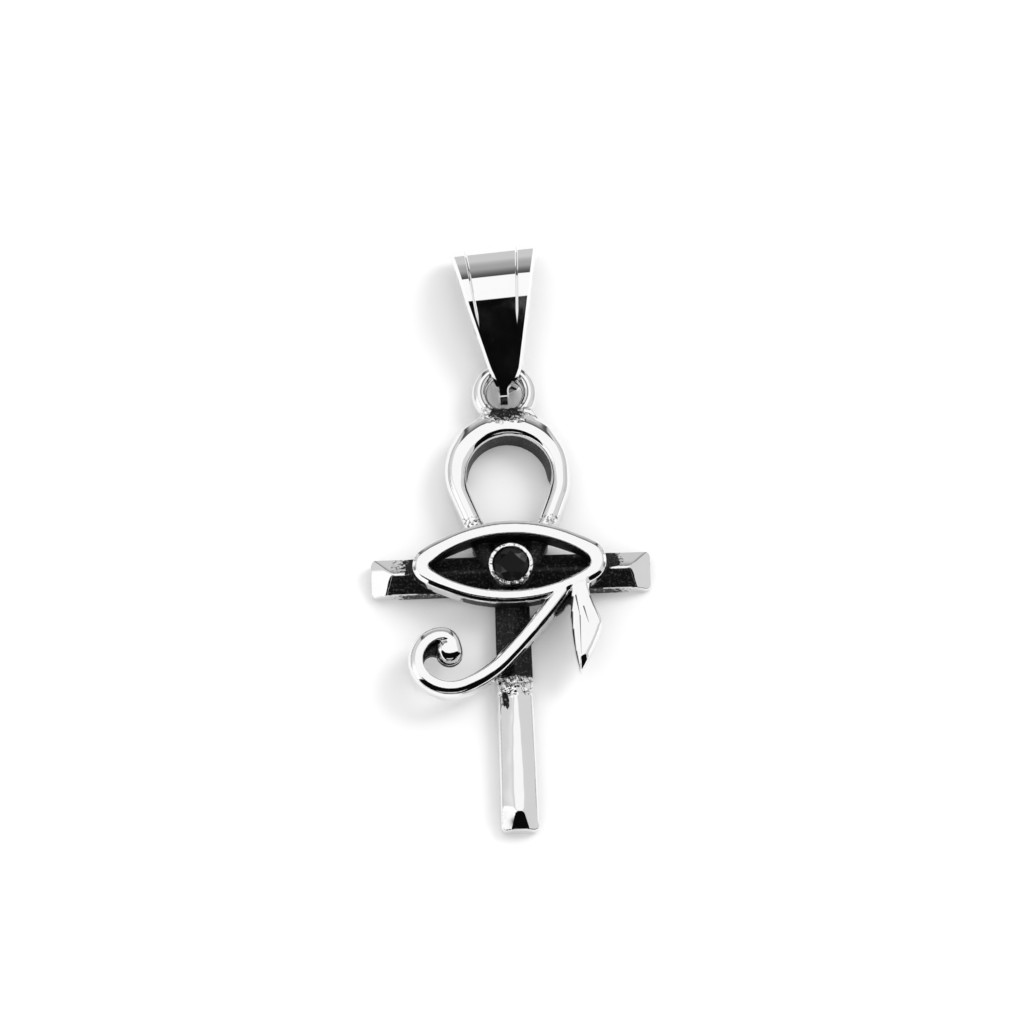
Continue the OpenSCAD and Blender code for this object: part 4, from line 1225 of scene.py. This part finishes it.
def toneFacets(mesh):
    t, rng, glintLevels = stoneGlintLevels, np.random.default_rng(8), []
    for facet in mesh.polygons:
        angle = math.degrees(math.atan2(facet.center.y, facet.center.x))
        lit = sum(share * max(0, 1 - abs(angle - middle) / reach) for middle, reach, share in stoneGlints)
        onTable = facet.normal.z > 0.99
        # painted glints on the facets towards the light, faint painted sheen at random on the others, the table kept
        # dark
        glintLevels.append(t["table"] if onTable else t["rest"] * rng.uniform(0, 1) + t["lit"] * lit * rng.uniform(0.5, 1))
    mesh.attributes.new("paintedFacetGlint", "FLOAT", "FACE").data.foreach_set("value", glintLevels)


def buildStone(material):
    tree, given, result = newNodeTree("repeatedFacets", [("facets", "NodeSocketInt")])
    spots = addNode(tree, "GeometryNodePoints", {"Count": given.outputs["facets"]})
    index = addNode(tree, "GeometryNodeInputIndex").outputs[0]
    angle = over(tree, times(tree, index, 2 * math.pi), given.outputs["facets"])
    spin = addNode(tree, "ShaderNodeCombineXYZ", {"Z": angle})
    copies = addNode(tree, "GeometryNodeInstanceOnPoints", {"Points": spots.outputs[0],
                                                            "Instance": given.outputs["Geometry"],
                                                            "Rotation": spin.outputs[0]})
    whole = addNode(tree, "GeometryNodeRealizeInstances", {"Geometry": copies.outputs[0]})
    welded = addNode(tree, "GeometryNodeMergeByDistance", {"Geometry": whole.outputs[0],
                                                           "Distance": stoneSizes["weld"] * mm})
    paintEnd(tree, welded.outputs[0], given, result)
    made = runTree(stoneWedge(), tree, "black_brilliant", {"facets": stoneSizes["facets"], "material": material})
    toneFacets(made.data)
    points = pointsOf(made.data)
    points[:, 1] += (eyeSizes["y"] + crossingY) * mm
    putPoints(made.data, points)
    return made


polishedSteel = steelMaterial("polishedSteel", finishes["body"], True)
bailSteel = steelMaterial("bailSteel", finishes["bail"], False)
ankh = buildAnkh()
ankh.data.materials.clear()
ankh.data.materials.append(polishedSteel)
bail = buildBail(bailSteel)
print("bail:", len(bail.data.vertices), "vertices")
stone = buildStone(stoneMaterial())
print("stone:", len(stone.data.polygons), "facets")
for piece, node, slot in ((ankh, "ankh", "polished_steel"), (bail, "bail", "bail_steel"),
                          (stone, "stone", "black_stone")):
    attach(piece, "root")
    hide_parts(node)

# Stage: floor, studio surroundings, one soft lamp and the camera

stageSizes = {"floorHalf": 2.0, "floorDrop": 0.02, "lampPower": 1.3, "lampSize": 0.3, "lampPlace": (0.42, 0.22, 0.42)}


def buildFloor():
    half, low = stageSizes["floorHalf"], -stageSizes["floorDrop"] * mm
    mesh = bpy.data.meshes.new("floor")
    mesh.from_pydata([(-half, -half, low), (half, -half, low), (half, half, low), (-half, half, low)],
                     [], [(0, 1, 2, 3)])
    mesh.materials.append(floorMaterial())
    made = bpy.data.objects.new("floor", mesh)
    scene.collection.objects.link(made)
    return made


floor = buildFloor()


# Soft box overhead, grey beyond it, a dark card in front. Places are tangents from straight up.
# Two values are a soft edge, and four are a band with a soft edge on each side
studioSizes = {
    "boxLevel": 1.08, "boxFront": (0.022, 0.034), "boxBack": (0.79, 0.83), "boxSide": (0.43, 0.47),
    "frameLevel": 0.75, "frameSide": (0.52, 0.75), "sideLevel": 0.74,
    "leftLevel": 1.15, "leftSide": (-0.6, -0.4), "leftBack": (0.2, 0.5),
    "railBand": (2.05, 2.2, 2.6, 2.75), "railBack": (0.0, 0.1), "railShare": 0.6,
    "backLevel": 0.08, "backSide": (0.56, 0.64), "backRim": (0.4, 0.53),
    "nearLevel": 0.4, "nearBack": (0.81, 1.5), "farLevel": 0.66, "farBack": (1.5, 3.4),
    "cardLevel": 0.003, "cardLeft": 2.3, "cardFar": 1.9, "cardRight": 2.2, "cardGain": 1.0, "cardGainStart": 1.0,
    "cardShift": 0.03, "cardEdge": (-0.19, -0.11),
    "glints": [(1.1, 1.18, 1.75, 1.85), (3.5, 3.58, 5.0, 5.1)], "glintSide": (0.55, 0.75),
    "horizonBand": (0.01, 0.03, 0.07, 0.11), "horizonBack": (0.6, 0.8), "horizonLevel": 0.25,
    "floorLevel": 1.0, "shownLevel": 0.95,
}


def studioLevel(tree, way):  # brightness of the surroundings in each direction
    s = studioSizes
    x, y, z = addNode(tree, "ShaderNodeSeparateXYZ", {0: way}).outputs
    up = greater(tree, z, 0.02)
    across, along = over(tree, x, up), over(tree, y, up)
    spread, ahead = mathNode(tree, "ABSOLUTE", across), times(tree, along, -1.0)

    def towards(level, share, goal):
        return mathNode(tree, "MULTIPLY_ADD", share, minus(tree, goal, level), level)

    def fades(value, edge):
        return mapRange(tree, value, *edge, 1.0, 0.0)

    onLeft = times(tree, fades(across, s["leftSide"]), fades(along, s["leftBack"]))
    sideGoal = mathNode(tree, "MULTIPLY_ADD", onLeft, s["leftLevel"] - s["sideLevel"], s["sideLevel"])
    sideTone = mapRange(tree, spread, *s["frameSide"], s["frameLevel"], sideGoal)
    rail = mapRange(tree, along, *s["railBack"], 0.0, s["railShare"])
    rail = times(tree, between(tree, spread, *s["railBand"]), rail)
    sideTone = times(tree, sideTone, minus(tree, 1.0, rail))  # a dark rail at each side
    level = towards(s["boxLevel"], mapRange(tree, spread, *s["boxSide"]), sideTone)

    wedge = over(tree, spread, greater(tree, along, 0.01))
    backTone = plus(tree, mapRange(tree, along, *s["nearBack"], s["backLevel"], s["nearLevel"]),
                    mapRange(tree, along, *s["farBack"], 0.0, s["farLevel"] - s["nearLevel"]))
    backTone = towards(backTone, mapRange(tree, wedge, *s["backRim"]), s["backLevel"])
    level = towards(level, times(tree, mapRange(tree, along, *s["boxBack"]), fades(wedge, s["backSide"])), backTone)

    offset = plus(tree, across, s["cardShift"])
    gain = times(tree, greater(tree, minus(tree, ahead, s["cardGainStart"]), 0.0), s["cardGain"])
    rightEdge = mathNode(tree, "MULTIPLY_ADD", ahead, s["cardRight"], gain)
    leftEdge = lesser(tree, times(tree, ahead, s["cardLeft"]), s["cardFar"])
    room = lesser(tree, plus(tree, leftEdge, offset), minus(tree, rightEdge, offset))
    card = times(tree, mapRange(tree, room, *s["cardEdge"]), mapRange(tree, ahead, *s["boxFront"]))
    level = towards(level, card, s["cardLevel"])
    for band in s["glints"]:  # narrow lit gaps in the card
        gap = times(tree, between(tree, ahead, *band), fades(spread, s["glintSide"]))
        level = towards(level, gap, s["frameLevel"])
    horizon = times(tree, between(tree, z, *s["horizonBand"]), fades(y, s["horizonBack"]))
    return towards(level, horizon, s["horizonLevel"])


def buildSurroundings():
    s = studioSizes
    world = bpy.data.worlds.new("studio")
    scene.world = world
    world.use_nodes = True
    tree = world.node_tree
    tree.nodes.clear()
    level = studioLevel(tree, addNode(tree, "ShaderNodeTexCoord").outputs["Generated"])
    path = addNode(tree, "ShaderNodeLightPath").outputs
    for ray, goal in (("Is Diffuse Ray", s["floorLevel"]), ("Is Camera Ray", s["shownLevel"])):
        level = mathNode(tree, "MULTIPLY_ADD", path[ray], minus(tree, goal, level), level)
    light = addNode(tree, "ShaderNodeBackground", {"Color": (1, 1, 1, 1), "Strength": level})
    out = addNode(tree, "ShaderNodeOutputWorld")
    tree.links.new(light.outputs[0], out.inputs[0])


def buildLamp():
    s = stageSizes
    lamp = bpy.data.lights.new("softLamp", "AREA")
    lamp.shape = "DISK"
    lamp.size = s["lampSize"]
    lamp.energy = s["lampPower"]
    made = bpy.data.objects.new("softLamp", lamp)
    scene.collection.objects.link(made)
    place = Vector(s["lampPlace"])
    made.location = place
    made.rotation_euler = (-place).to_track_quat("-Z", "Y").to_euler()
    made.visible_glossy = False


# aimRight and aimUp are pixels of the photograph, and lensPixels is the lens in the same pixels
cameraSizes = {"elevation": 70.5, "azimuth": -2.0, "distance": 0.52, "lens": 236.9, "lensPixels": 6739,
               "aim": (0.0, (eyeSizes["y"] + crossingY) * mm, 1.0 * mm), "aimRight": 1.1, "aimUp": 60,
               "clipStart": 0.01, "clipEnd": 20}


def placeCamera():
    s = cameraSizes
    el, az = math.radians(s["elevation"]), math.radians(s["azimuth"])
    back = Vector((math.sin(az) * math.cos(el), -math.cos(az) * math.cos(el), math.sin(el)))
    right = Vector((math.cos(az), math.sin(az), 0))
    up = back.cross(right)
    look = -back + s["aimRight"] / s["lensPixels"] * right + s["aimUp"] / s["lensPixels"] * up
    data = bpy.data.cameras.new("photoCamera")
    data.lens = s["lens"]
    data.clip_start, data.clip_end = s["clipStart"], s["clipEnd"]
    made = bpy.data.objects.new("photoCamera", data)
    scene.collection.objects.link(made)
    made.location = Vector(s["aim"]) + back * s["distance"]
    made.rotation_euler = look.to_track_quat("-Z", "Y").to_euler()
    scene.camera = made


buildSurroundings()
buildLamp()
placeCamera()
print("stage: floor, surroundings, lamp and camera")
scene.view_settings.view_transform = "Standard"
